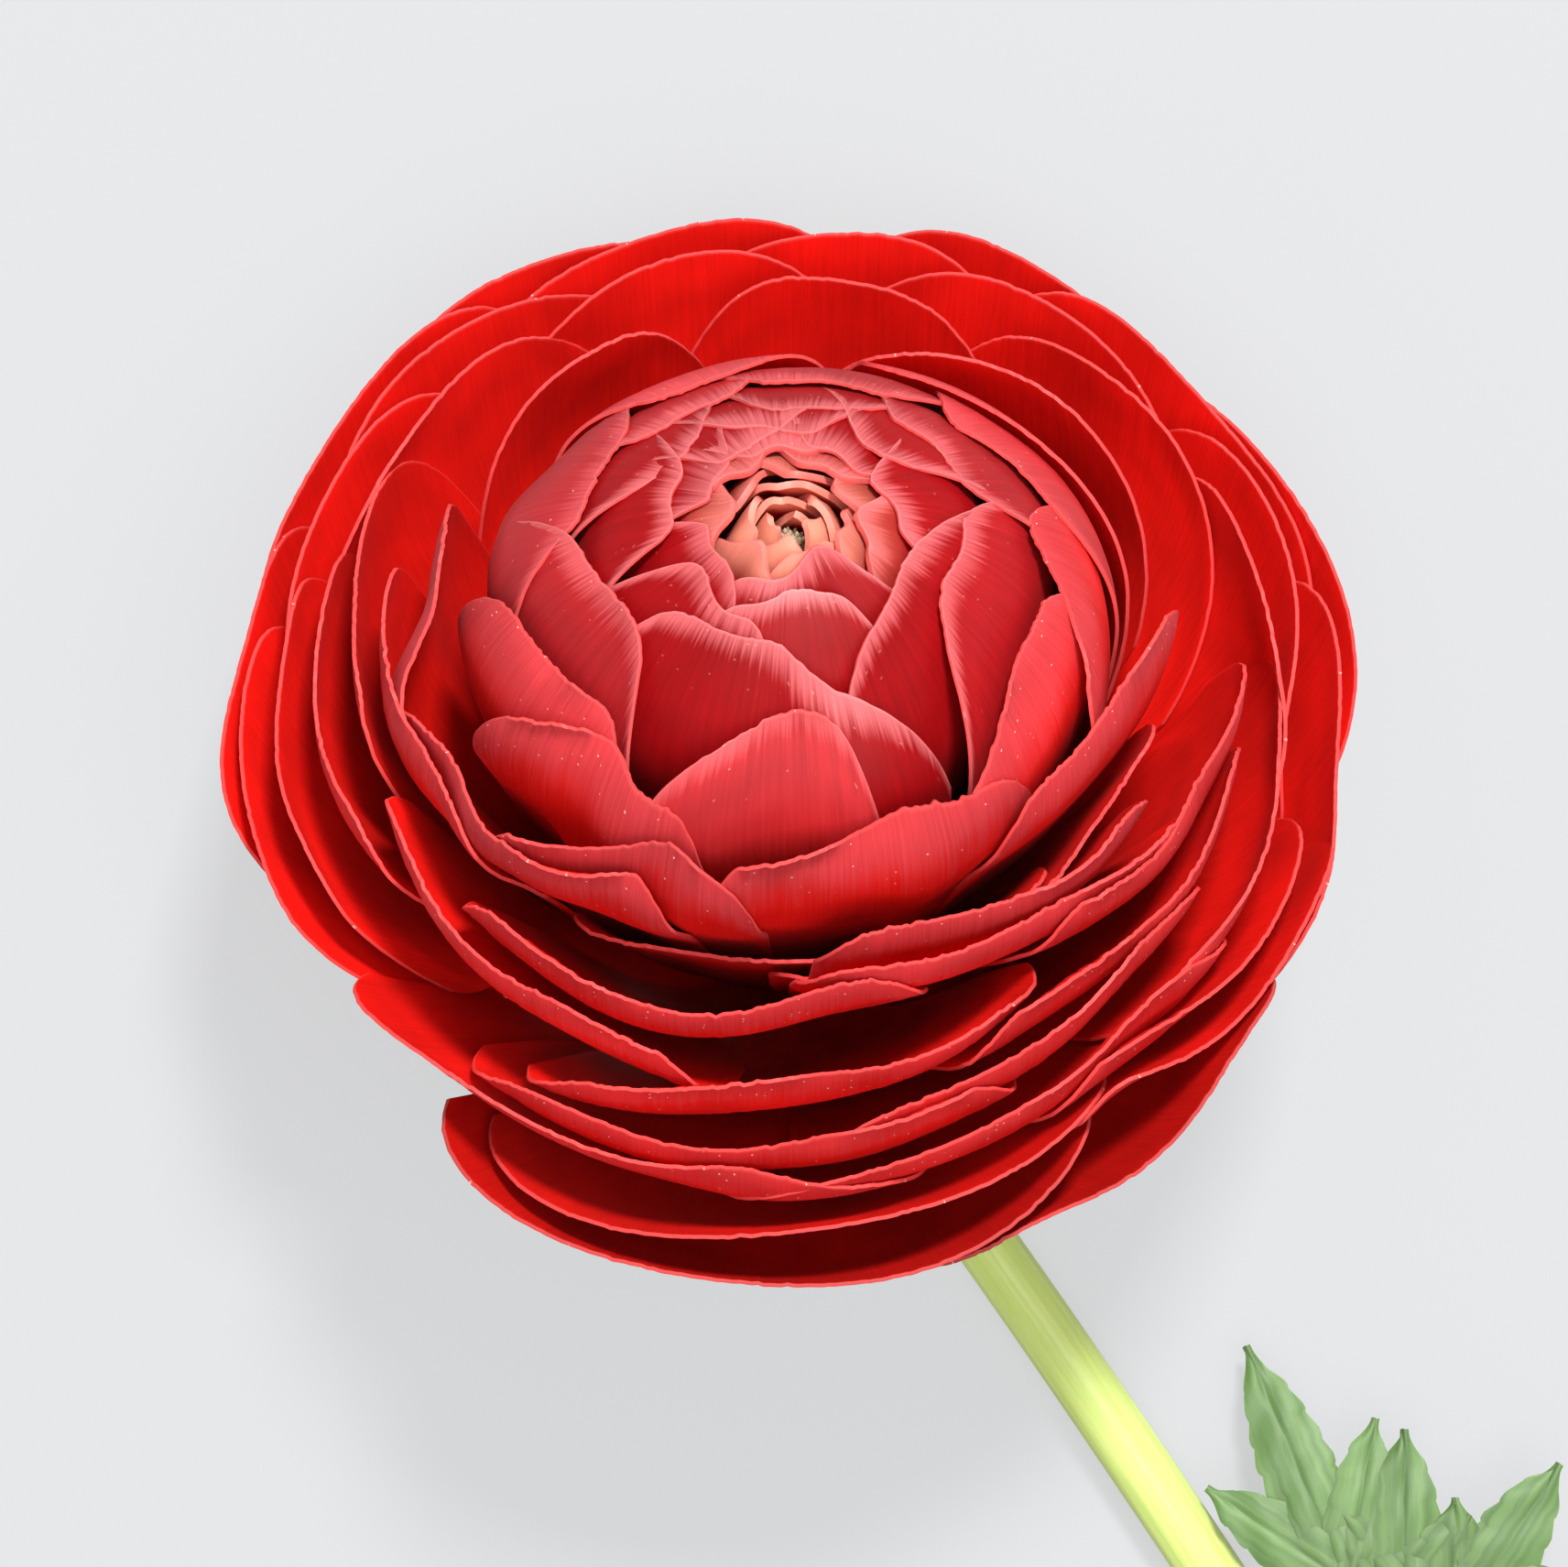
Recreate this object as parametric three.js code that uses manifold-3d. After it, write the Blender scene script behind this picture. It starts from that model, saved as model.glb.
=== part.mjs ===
// A persian buttercup (Ranunculus asiaticus) as picked: one double bloom on a cut stem with one divided leaf.
// It lies on a surface: the bloom rests on a small flat spot of its back petals, and the stem lies along it.
// Millimetres and degrees, +Z up. The surface is z = 0.
import * as THREE from 'three';
import { mergeVertices } from 'three/addons/utils/BufferGeometryUtils.js';
import Module from 'manifold-3d';

const wasm = await Module();
wasm.setup();

// Driving sizes of the bloom, in its own frame: +Z is its axis, from the receptacle's foot to the eye.
// Azimuth 90 is the side that lies on the surface, and azimuth -90 the side that faces away from it.
const EYE_HEIGHT = 44;          // from the foot of the receptacle to the innermost petals' rims
const REACH = 36;               // rim radius of a shell at full size
const WIDEST = 1.12;            // the widest shell, as a share of a full size one
const RIM_DROP = 24;            // how much lower the rim of a full size shell lies than the eye
const BACK_LIFT = 9.5;          // how much higher its rim stands at azimuth 90, and lower at -90
const LIE_ANGLE = 36;           // from the bloom's axis to the vertical, as it lies
const FOOT_HEIGHT = 9.5;        // the receptacle's foot above the surface: the back petals are pressed flat
// How the petals' shells go from the smallest, at the eye, to a full size one: foot, and slopes in degrees
const SHELL_FOOT = { smallest: { r: 2, z: 7 }, full: { r: 6, z: 0 } };
const FOOT_ANGLE = { smallest: 72, full: 4 };
const RIM_ANGLE = { smallest: 165, full: 78, frontBulge: 10, front: 42 };
// How petals curl in at their rims: over what length, how far, beyond what rim radius the curl fades out
const CURL = { young: 8, full: 4, turn: 60, ends: 31.5, fade: 2.5 };
const HOOD = 0.55;              // share of the curl on the petals that stand close behind the eye
const FRONT_FROM = [-0.6, 0.8]; // the front fades in between these values of -sin(azimuth)
// Between which shares of a full size shell's rim radius a change is made, going outward
const CHANGES = {
  frontOpens: [0.2, 0.65],
  curlStarts: [0.25, 0.45],
  curlShortens: [0.5, 0.7],
  hoodStarts: [0.2, 0.32],
  hoodEnds: [0.42, 0.62],
};
const SHELL_FULLNESS = 1.18;    // how far a shell bellies out between its foot and its rim
const BLADE_THICKNESS = 0.6;
const CLAW_WIDTH = 0.34;        // a petal's width at its foot, as a share of its full width
const FULL_WIDTH_FROM = 0.6;    // where along its length it has its full width
const ROOT_SINK = 0.1;          // how far a petal's root goes into the core, as a share of its length
const RIM_GAP = 1.1;            // least distance from a rim to the rims inside it
const PRESSED_SHARE = 0.36;     // height of the outermost pressed middle surface, as a share of the thickness
const PRESSED_GAP = 0.6;        // rise of a pressed petal for each millimetre that its rim radius is smaller
const OUTER_RIM = 38.6;         // rim radius of the outermost pressed petal

// Where each petal sits, from the eye out: azimuth, rim radius, half width and tuck.
// Tuck is how much the rim moves out from the middle of the petal to its counter-clockwise end.
const SEATS = [
  [20, 3, 56, -0.4], [140, 3.4, 56, -0.4], [-95, 3.4, 60, 0], [30, 5.2, 44, -0.6],
  [-130, 6, 38, -0.6], [130, 6, 38, -0.6], [-28, 7.4, 42, -0.4], [-103, 8.4, 42, 0],
  [165, 8.8, 34, -0.6], [70, 8.6, 38, -0.8], [-14, 9.8, 36, -0.4], [112, 11.2, 36, -1],
  [44, 12, 36, -2], [-167, 12, 38, -0.6], [-97, 13.4, 32, -2.4], [-2, 14.4, 26, -3],
  [110, 14.2, 34, -1], [30, 15.6, 34, -3], [-31, 16, 32, -1.4], [-155, 16, 34, -2.4],
  [-130, 17.6, 34, -2.8], [-72, 18.4, 34, -2.6], [60, 19, 36, -3], [-116, 20.6, 34, -2.8],
  [-20, 21.6, 32, 2.4], [168, 22.6, 32, -1], [38, 22.2, 36, -3], [-142, 22.6, 32, -2.8],
  [122, 23.8, 32, -0.8], [-54, 23.6, 32, 1.2], [-106, 26.2, 30, -1.3], [-21, 26.8, 30, 2],
  [178, 27, 30, -1], [80, 27, 34, -1], [-56, 28, 34, 1.2], [-132, 28, 28, 0.6],
  [30, 28.6, 34, -2], [140, 29.4, 34, -1.4], [-88, 28.7, 32, -1.9], [-30, 31, 34, 0.4],
  [180, 31.4, 32, -1], [-62, 31.4, 30, -1.7], [-112, 32.2, 34, -1.6], [96, 32.4, 36, -1],
  [12, 32.6, 34, -1], [54, 33, 34, -2], [-88, 33.8, 36, -1.2], [150, 34.2, 34, -1], [-29, 34.8, 32, 1.6],
  [-92, 36, 42, -0.5], [178, 36.6, 28, -0.6], [112, 36.4, 34, -1], [28, 36.4, 34, -1],
  [70, 36.6, 34, -1], [-2, 36, 30, -0.4], [-52, 35.8, 28, 0], [142, 38, 32, -1],
  [48, 38.6, 34, -1], [92, 38.4, 34, -1],
];
const BUD_PETALS = 18;          // the first petals are small and get fewer columns
const RIM_STEPS = 24;           // samples along a rim when the petals are seated
const PETAL_COLUMNS = 5;
const BUD_COLUMNS = 4;
const PETAL_ROWS = 3;
const ROW_CROWDING = 1.6;       // how much closer the rows stand towards a curled rim, 1 for even rows

// Driving sizes of the core: the receptacle and the crowded feet of the petals
const CORE_REACH = 38.5;        // rim radius of the widest shell that starts in it
const CORE_LEAN = 1.5;          // how much wider that shell is at azimuth 90, and narrower at -90
const CORE_RINGS = 4;
const CORE_SIDES = 14;
const CORE_TOP = { radius: 3.2, height: 38.2 };

// Driving sizes of the other pieces
const FIT_GAP = 0.3;            // clearance between two pieces that touch
const HEART = { radius: 1.7, height: 3.8, sides: 12 };
const CALYX = { radius: 3.4, thickness: 1.1, sides: 16 };
const SEPAL = { count: 5, length: 11, width: 6.4, droop: 2.6, columns: 4, rows: 5 };
const STEM = { radius: 2.15, sides: 12, steps: 36, neck: 5.5, swing: 36 };
const LEAF = {
  thickness: 0.8,
  rise: 1.3,                    // least height of its middle surface above what it lies on
  arch: 4.5,                    // how much higher it stands halfway
  reach: 42,                    // from the stem to the furthest tip
  petiole: { radius: 1.1, length: 12, sides: 8, steps: 5, turn: -9.5 },
  hub: 0.36,                    // where a leaflet parts into its lobes, as a share of its length
  overlap: 0.8,
  lobeWidth: 5.4,
  sideWidth: 4.6,
  sideLobe: 0.42,               // length of its side lobes, as a share of the leaflet's
  sideTurn: 34,
  stalkWidth: 2,
  columns: 2,
  rows: 4,
};
// The three leaflets: length from the fork and turn from the petiole's way, counter-clockwise
const LEAFLETS = [{ length: 26.5, turn: 0 }, { length: 19, turn: -24 }, { length: 20, turn: -56 }];

// The stem's way along the surface, as it lies, from below the receptacle: where it lands and where it is cut
const LANDING = new THREE.Vector2(6, -12);
const LANDING_WAY = new THREE.Vector2(0.6, -0.8);
const CUT_END = new THREE.Vector2(76, -124);
const CUT_WAY = new THREE.Vector2(0.45, -0.89);
const LEAF_NODE = 0.5;          // where the leaf grows from the lying stretch, as a share of its length

// The bloom's frame as it lies
const radians = THREE.MathUtils.degToRad;
const lying = new THREE.Matrix4().makeRotationX(-radians(LIE_ANGLE)).setPosition(0, 0, FOOT_HEIGHT);

const mix = THREE.MathUtils.lerp;
const clamp = THREE.MathUtils.clamp;
const smoothstep = THREE.MathUtils.smoothstep;

// A repeatable draw between 0 and 1 for petal number k
function chance(k, salt) {
  const x = Math.sin(k * 12.9898 + salt * 78.233) * 43758.5453;
  return x - Math.floor(x);
}

// The curl of a shell's rim at azimuth az: a function from t, 0 where it starts and 1 at the rim, to how far
// it turns towards the axis there and how far it falls back along the straight petal
function curlOf(rho, az, front) {
  const g = rho / REACH;
  const hood = HOOD * (1 - front) * smoothstep(g, ...CHANGES.hoodStarts) * (1 - smoothstep(g, ...CHANGES.hoodEnds));
  const open = smoothstep(rho, CURL.ends, CURL.ends + CURL.fade);
  const turn = radians(CURL.turn) * (front * smoothstep(g, ...CHANGES.curlStarts) * (1 - open) + hood) + 1e-4;
  const length = mix(CURL.young, CURL.full, smoothstep(g, ...CHANGES.curlShortens));
  const at = (t) => {
    const inward = length / turn * (1 - Math.cos(turn * t));
    const back = length / turn * Math.sin(turn * t) - length * t;
    return { inward, back };
  };
  return { length, at };
}

// The shell of rim radius rho at azimuth az: radius and height, v going from the foot (0) to the rim (1)
function shellPoint(rho, az, v) {
  const g = clamp(rho / REACH, 0, WIDEST);
  const inner = Math.min(g, 1);
  const front = smoothstep(-Math.sin(az), ...FRONT_FROM);
  const { smallest, full } = SHELL_FOOT;
  const foot = { r: mix(smallest.r, full.r, g), z: mix(smallest.z, full.z, g) };
  const rim = { r: rho, z: EYE_HEIGHT - RIM_DROP * g ** 1.9 + BACK_LIFT * g ** 3 * Math.sin(az) };
  const footAngle = radians(mix(FOOT_ANGLE.smallest, FOOT_ANGLE.full, inner ** 0.9));
  const bulge = -RIM_ANGLE.frontBulge * Math.sin(az) * 4 * g * (1 - inner);
  const own = mix(RIM_ANGLE.smallest, RIM_ANGLE.full, inner ** 1.05) + bulge;
  const rimAngle = radians(mix(own, RIM_ANGLE.front, front * smoothstep(g, ...CHANGES.frontOpens)));
  const ahead = { r: Math.cos(rimAngle), z: Math.sin(rimAngle) };
  const curl = curlOf(rho, az, front);
  const whole = curl.at(1);
  const end = {
    r: rim.r + whole.inward * ahead.z - whole.back * ahead.r,
    z: rim.z - whole.inward * ahead.r - whole.back * ahead.z,
  };
  const pull = SHELL_FULLNESS * Math.hypot(end.r - foot.r, end.z - foot.z);
  const h00 = 2 * v ** 3 - 3 * v ** 2 + 1;
  const h10 = v ** 3 - 2 * v ** 2 + v;
  const h01 = 3 * v ** 2 - 2 * v ** 3;
  const h11 = v ** 3 - v ** 2;
  const r = h00 * foot.r + h10 * pull * Math.cos(footAngle) + h01 * end.r + h11 * pull * ahead.r;
  const z = h00 * foot.z + h10 * pull * Math.sin(footAngle) + h01 * end.z + h11 * pull * ahead.z;
  const length = 1.1 * Math.hypot(rim.r - foot.r, rim.z - foot.z);
  const { inward, back } = curl.at(clamp(1 - (1 - v) * length / curl.length, 0, 1));
  return { r: r - inward * ahead.z + back * ahead.r, z: z + inward * ahead.r + back * ahead.z };
}

// The same as a point in the bloom's frame, lifted where it would reach the surface that the flower lies on
function pressedPoint(rho, az, v) {
  const { r, z } = shellPoint(rho, az, v);
  const point = new THREE.Vector3(r * Math.cos(az), r * Math.sin(az), z);
  const up = new THREE.Vector3(0, -Math.sin(radians(LIE_ANGLE)), Math.cos(radians(LIE_ANGLE)));
  const least = PRESSED_SHARE * BLADE_THICKNESS + PRESSED_GAP * Math.max(0, OUTER_RIM - rho);
  return point.addScaledVector(up, Math.max(0, least - FOOT_HEIGHT - point.dot(up)));
}

// Where a shell leaves the core, as a share of its length
function coreExit(rho) {
  return mix(0.66, 0.42, clamp(rho / REACH, 0, 1) ** 0.8);
}

// Rim radius of a petal along its width, u from -1 to 1, before it is seated: the ends curl in
function rimLine(rim, tuck, u) {
  return Math.max(rim + tuck * u - 0.7 * u * u * Math.min(1, rim / 12), 0.5);
}

// Seats the petals from the eye out: where a rim would cross those inside it, it is eased outward
function seatPetals() {
  const taken = new Array(360).fill(0);
  const turn = (degrees) => (Math.round(degrees) + 2 * taken.length) % taken.length;
  return SEATS.map(([azimuth, rim, half, tuck], number) => {
    const crossing = [];
    for (let i = 0; i <= RIM_STEPS; i++) {
      const u = 2 * i / RIM_STEPS - 1;
      crossing.push(Math.max(0, taken[turn(azimuth + half * u)] + RIM_GAP - rimLine(rim, tuck, u)));
    }
    const push = crossing.map((_, i) => {
      const near = [-2, -1, 0, 1, 2].map((j) => crossing[clamp(i + j, 0, RIM_STEPS)]);
      return near.reduce((sum, value) => sum + value) / near.length;
    });
    const petal = { number, azimuth, rim, half, tuck, push };
    for (let degree = -half; degree <= half; degree++) {
      const bin = turn(azimuth + degree);
      taken[bin] = Math.max(taken[bin], seatedRim(petal, degree / half));
    }
    return petal;
  });
}

function seatedRim(petal, u) {
  const at = (u + 1) / 2 * RIM_STEPS;
  const low = Math.min(Math.floor(at), RIM_STEPS - 1);
  return rimLine(petal.rim, petal.tuck, u) + mix(petal.push[low], petal.push[low + 1], at - low);
}

// A point of a petal's blade: u from -1 to 1 across, v from 0 at the foot to 1 at the rim
function petalPoint(petal, u, v) {
  const k = petal.number;
  const cornerDrop = mix(0.24, 0.4, chance(k, 5));
  const cornerPower = mix(3.2, 4.6, chance(k, 6));
  const slope = (chance(k, 7) - 0.5) * 0.05;
  const phase = 2 * Math.PI * chance(k, 8);
  const top = 1 - cornerDrop * Math.abs(u) ** cornerPower + slope * u + 0.01 * Math.sin(5 * u + phase);
  const along = v * top;
  const width = petal.half * mix(CLAW_WIDTH, 1, smoothstep(along, 0, FULL_WIDTH_FROM));
  const az = radians(petal.azimuth + width * u);
  return pressedPoint(seatedRim(petal, u), az, along);
}

// A closed blade of even thickness over a grid of points, with both faces split into triangles alike.
// point(i, j) gives the middle surface, i from 0 to columns and j from 0 to rows.
function blade(columns, rows, thickness, point) {
  const grid = [];
  for (let i = 0; i <= columns; i++) {
    grid.push([]);
    for (let j = 0; j <= rows; j++) {
      grid[i].push(point(i, j));
    }
  }
  const normal = (i, j) => {
    const across = grid[Math.min(i + 1, columns)][j].clone().sub(grid[Math.max(i - 1, 0)][j]);
    const up = grid[i][Math.min(j + 1, rows)].clone().sub(grid[i][Math.max(j - 1, 0)]);
    return across.cross(up).normalize();
  };
  const front = [];
  const back = [];
  for (let i = 0; i <= columns; i++) {
    for (let j = 0; j <= rows; j++) {
      const offset = normal(i, j).multiplyScalar(thickness / 2);
      front.push(grid[i][j].clone().add(offset));
      back.push(grid[i][j].clone().sub(offset));
    }
  }
  const at = (i, j) => i * (rows + 1) + j;
  const behind = (i, j) => front.length + at(i, j);
  const index = [];
  const quad = (a, b, c, d) => index.push(a, b, c, a, c, d);
  for (let i = 0; i < columns; i++) {
    for (let j = 0; j < rows; j++) {
      quad(at(i, j), at(i + 1, j), at(i + 1, j + 1), at(i, j + 1));
      index.push(behind(i, j), behind(i + 1, j + 1), behind(i + 1, j));
      index.push(behind(i, j), behind(i, j + 1), behind(i + 1, j + 1));
    }
    quad(at(i + 1, 0), at(i, 0), behind(i, 0), behind(i + 1, 0));
    quad(at(i, rows), at(i + 1, rows), behind(i + 1, rows), behind(i, rows));
  }
  for (let j = 0; j < rows; j++) {
    quad(at(0, j), at(0, j + 1), behind(0, j + 1), behind(0, j));
    quad(at(columns, j + 1), at(columns, j), behind(columns, j), behind(columns, j + 1));
  }
  return new THREE.BufferGeometry().setFromPoints([...front, ...back]).setIndex(index);
}

// Solids for joining and cutting
function toSolid(geometry) {
  const bare = geometry.clone();
  bare.deleteAttribute('normal');
  bare.deleteAttribute('uv');
  const merged = mergeVertices(bare, 1e-4);
  return new wasm.Manifold(new wasm.Mesh({
    numProp: 3,
    vertProperties: new Float32Array(merged.attributes.position.array),
    triVerts: new Uint32Array(merged.index.array),
  }));
}

function toGeometry(solid) {
  const { vertProperties, triVerts } = solid.getMesh();
  const geometry = new THREE.BufferGeometry();
  geometry.setAttribute('position', new THREE.BufferAttribute(new Float32Array(vertProperties), 3));
  geometry.setIndex(new THREE.BufferAttribute(new Uint32Array(triVerts), 1));
  return geometry;
}

function fuse(solids) {
  return solids.reduce((sum, solid) => sum.add(solid));
}

// The largest connected body of a solid, with any sealed gap inside it filled
function largestBody(solid) {
  return solid.decompose().reduce((best, piece) => (piece.volume() > best.volume() ? piece : best));
}

function mesh(name, geometry, color, roughness) {
  const piece = new THREE.Mesh(geometry, new THREE.MeshStandardMaterial({ color, roughness, metalness: 0 }));
  piece.name = name;
  return piece;
}

// The bloom's core: its outline runs where the shells leave it, all round, and it ends in a small flat top
function coreGeometry() {
  const rings = CORE_RINGS + 2;
  const outline = [new THREE.Vector2(0, 0)];
  for (let ring = 1; ring <= rings; ring++) {
    outline.push(new THREE.Vector2(1, ring));
  }
  outline.push(new THREE.Vector2(0, rings + 1));
  const core = new THREE.LatheGeometry(outline, CORE_SIDES).rotateX(Math.PI / 2);
  const points = core.attributes.position;
  for (let n = 0; n < points.count; n++) {
    const ring = n % outline.length;
    const az = Math.atan2(points.getY(n), points.getX(n));
    const rho = (CORE_REACH + CORE_LEAN * Math.sin(az)) * (CORE_RINGS + 1 - ring) / CORE_RINGS;
    const outward = new THREE.Vector3(Math.cos(az), Math.sin(az), 0);
    let place = new THREE.Vector3(0, 0, ring > 0 ? CORE_TOP.height : 0);
    if (ring === rings) place.addScaledVector(outward, CORE_TOP.radius);
    if (ring > 0 && ring < rings) place = pressedPoint(rho, az, coreExit(rho));
    points.setXYZ(n, place.x, place.y, place.z);
  }
  return core;
}

function petalGeometry(petal) {
  const columns = petal.number < BUD_PETALS ? BUD_COLUMNS : PETAL_COLUMNS;
  const root = coreExit(petal.rim) - ROOT_SINK;
  const crowding = mix(ROW_CROWDING, 1, clamp(Math.sin(radians(petal.azimuth)), 0, 1));
  const along = (j) => mix(1, root, (1 - j / PETAL_ROWS) ** crowding);
  const point = (i, j) => petalPoint(petal, 2 * i / columns - 1, along(j));
  return blade(columns, PETAL_ROWS, BLADE_THICKNESS, point);
}

// The pistil head: a small pointed dome
function heartGeometry() {
  const outline = [new THREE.Vector2(0, 0)];
  const steps = 6;
  for (let i = 0; i < steps; i++) {
    const turn = Math.PI / 2 * i / steps;
    outline.push(new THREE.Vector2(HEART.radius * Math.cos(turn) ** 0.7, HEART.height * Math.sin(turn)));
  }
  outline.push(new THREE.Vector2(0, HEART.height));
  return new THREE.LatheGeometry(outline, HEART.sides).rotateX(Math.PI / 2);
}

// Five drooping sepals on a small round calyx, its top at height 0
function sepalsGeometry() {
  const middle = -CALYX.thickness / 2;
  const solids = [];
  for (let k = 0; k < SEPAL.count; k++) {
    const az = radians(-90 + 360 * k / SEPAL.count);
    const sepal = blade(SEPAL.columns, SEPAL.rows, BLADE_THICKNESS, (i, j) => {
      const s = j / SEPAL.rows;
      const u = 2 * i / SEPAL.columns - 1;
      const across = SEPAL.width / 2 * u * mix(0.5, 1, Math.sin(Math.PI * Math.min(s, 0.93)) ** 0.7);
      const out = mix(CALYX.radius / 2, SEPAL.length, s * (1 - 0.12 * u * u));
      const height = middle - SEPAL.droop * s ** 1.5 + 0.4 * u * u * s;
      return new THREE.Vector3(out, across, height).applyAxisAngle(new THREE.Vector3(0, 0, 1), az);
    });
    solids.push(toSolid(sepal));
  }
  const calyx = new THREE.CylinderGeometry(CALYX.radius, CALYX.radius * 0.8, CALYX.thickness, CALYX.sides);
  solids.push(toSolid(calyx.rotateX(Math.PI / 2).translate(0, 0, middle)));
  return toGeometry(largestBody(fuse(solids)));
}

// The stem's middle line: straight out of the receptacle, bent down to the surface, then along it
function stemPath() {
  const on = (point, height) => new THREE.Vector3(point.x, point.y, height);
  const start = new THREE.Vector3(0, 0, -CALYX.thickness - 2 * FIT_GAP).applyMatrix4(lying);
  const neck = new THREE.Vector3(0, 0, -CALYX.thickness - 2 * FIT_GAP - STEM.neck).applyMatrix4(lying);
  const landing = on(LANDING, STEM.radius);
  const landingWay = on(LANDING_WAY.clone().normalize(), 0);
  const end = on(CUT_END, STEM.radius);
  const endWay = on(CUT_WAY.clone().normalize(), 0);
  const before = landing.clone().addScaledVector(landingWay, -STEM.neck);
  const after = landing.clone().addScaledVector(landingWay, STEM.swing);
  const last = end.clone().addScaledVector(endWay, -STEM.swing);
  const path = new THREE.CurvePath();
  path.add(new THREE.CubicBezierCurve3(start, neck, before, landing));
  path.add(new THREE.CubicBezierCurve3(landing, after, last, end));
  return path;
}

function roundTube(radius, sides, steps, extrudePath) {
  const section = new THREE.Shape().absarc(0, 0, radius, 0, 2 * Math.PI);
  return new THREE.ExtrudeGeometry(section, { steps, curveSegments: sides / 2, extrudePath });
}

function stemGeometry(path) {
  return roundTube(STEM.radius, STEM.sides, STEM.steps, path);
}

// The divided leaf, in plan from its petiole: three leaflets, each cut to the rib into pointed lobes
function leafGeometry(stretch) {
  const node = stretch.getPointAt(LEAF_NODE);
  const upStem = stretch.getTangentAt(LEAF_NODE).negate();
  const beside = new THREE.Vector3(upStem.y, -upStem.x, 0);
  const turned = (way, degrees) => way.clone().applyAxisAngle(new THREE.Vector3(0, 0, 1), radians(degrees));
  const start = node.clone().addScaledVector(beside, STEM.radius + FIT_GAP + LEAF.petiole.radius);
  const way = turned(upStem, LEAF.petiole.turn);
  const height = (point) => {
    const share = clamp(Math.hypot(point.x - start.x, point.y - start.y) / LEAF.reach, 0, 1);
    return LEAF.rise + LEAF.arch * Math.sin(Math.PI * share);
  };
  const lobe = (from, to, width) => blade(LEAF.columns, LEAF.rows, LEAF.thickness, (i, j) => {
    const u = 2 * i / LEAF.columns - 1;
    const s = j / LEAF.rows;
    const rib = from.clone().lerp(to, s);
    const across = turned(to.clone().sub(from).normalize(), 90);
    const half = width / 2 * (0.22 + 0.78 * Math.sin(Math.PI * Math.min(s, 0.96) ** 0.8));
    rib.addScaledVector(across, half * u);
    rib.z = height(rib) - 0.12 * half * u * u;
    return rib;
  });
  const fork = start.clone().addScaledVector(way, LEAF.petiole.length);
  const blades = LEAFLETS.flatMap(({ length, turn }) => {
    const along = turned(way, turn);
    const hub = fork.clone().addScaledVector(along, LEAF.hub * length);
    const root = fork.clone().addScaledVector(along, -LEAF.overlap);
    const tip = (side, share) => hub.clone().addScaledVector(turned(along, side), share * length);
    return [
      lobe(root, hub, LEAF.stalkWidth),
      lobe(hub, tip(0, 1 - LEAF.hub), LEAF.lobeWidth),
      lobe(hub, tip(LEAF.sideTurn, LEAF.sideLobe), LEAF.sideWidth),
      lobe(hub, tip(-LEAF.sideTurn, LEAF.sideLobe), LEAF.sideWidth),
    ];
  });
  const foot = start.clone().setZ(STEM.radius);
  const middle = start.clone().addScaledVector(way, LEAF.petiole.length / 2).setZ(height(fork));
  const petioleLine = new THREE.QuadraticBezierCurve3(foot, middle, fork.clone().setZ(height(fork)));
  const petiole = roundTube(LEAF.petiole.radius, LEAF.petiole.sides, LEAF.petiole.steps, petioleLine);
  return toGeometry(largestBody(fuse([petiole, ...blades].map(toSolid))));
}

// Everything put together: the bloom in its own frame, cut flat by the surface, then what lies along it
const belowSurface = new THREE.BoxGeometry(4 * REACH, 4 * REACH, 4 * REACH).translate(0, 0, -2 * REACH);
const cutter = toSolid(belowSurface.applyMatrix4(lying.clone().invert()));
const head = fuse([coreGeometry(), ...seatPetals().map(petalGeometry)].map(toSolid));
const bloomGeometry = toGeometry(largestBody(head.subtract(cutter)));
const stemLine = stemPath();

const bloomFrame = new THREE.Group();
lying.decompose(bloomFrame.position, bloomFrame.quaternion, bloomFrame.scale);
const bloom = mesh('bloom', bloomGeometry, 0xc81a1e, 0.55);
const heart = mesh('heart', heartGeometry(), 0xc9d29a, 0.6);
heart.position.z = CORE_TOP.height + FIT_GAP;
const sepals = mesh('sepals', sepalsGeometry(), 0x8fae52, 0.6);
sepals.position.z = -FIT_GAP;
bloomFrame.add(bloom, heart, sepals);
const stem = mesh('stem', stemGeometry(stemLine), 0xb4c86c, 0.5);
const leaf = mesh('leaf', leafGeometry(stemLine.curves[1]), 0x6f9a48, 0.6);

// The whole flower, centred over the origin
const flower = new THREE.Group();
flower.add(bloomFrame, stem, leaf);
flower.updateMatrixWorld(true);
const middle = new THREE.Box3().setFromObject(flower, true).getCenter(new THREE.Vector3());
flower.position.set(-middle.x, -middle.y, 0);

export default flower;
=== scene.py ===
# %% [markdown]
# # A persian buttercup, as picked
#
# The flower lies on a surface: the bloom leans back on its outer petals, and the stem lies along the floor.
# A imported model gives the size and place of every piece. This lesson builds the looks on it: 98 thin petals
# with crimped rims and two differently coloured faces, a finely ribbed stem, and a divided leaf.

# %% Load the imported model
import math

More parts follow.
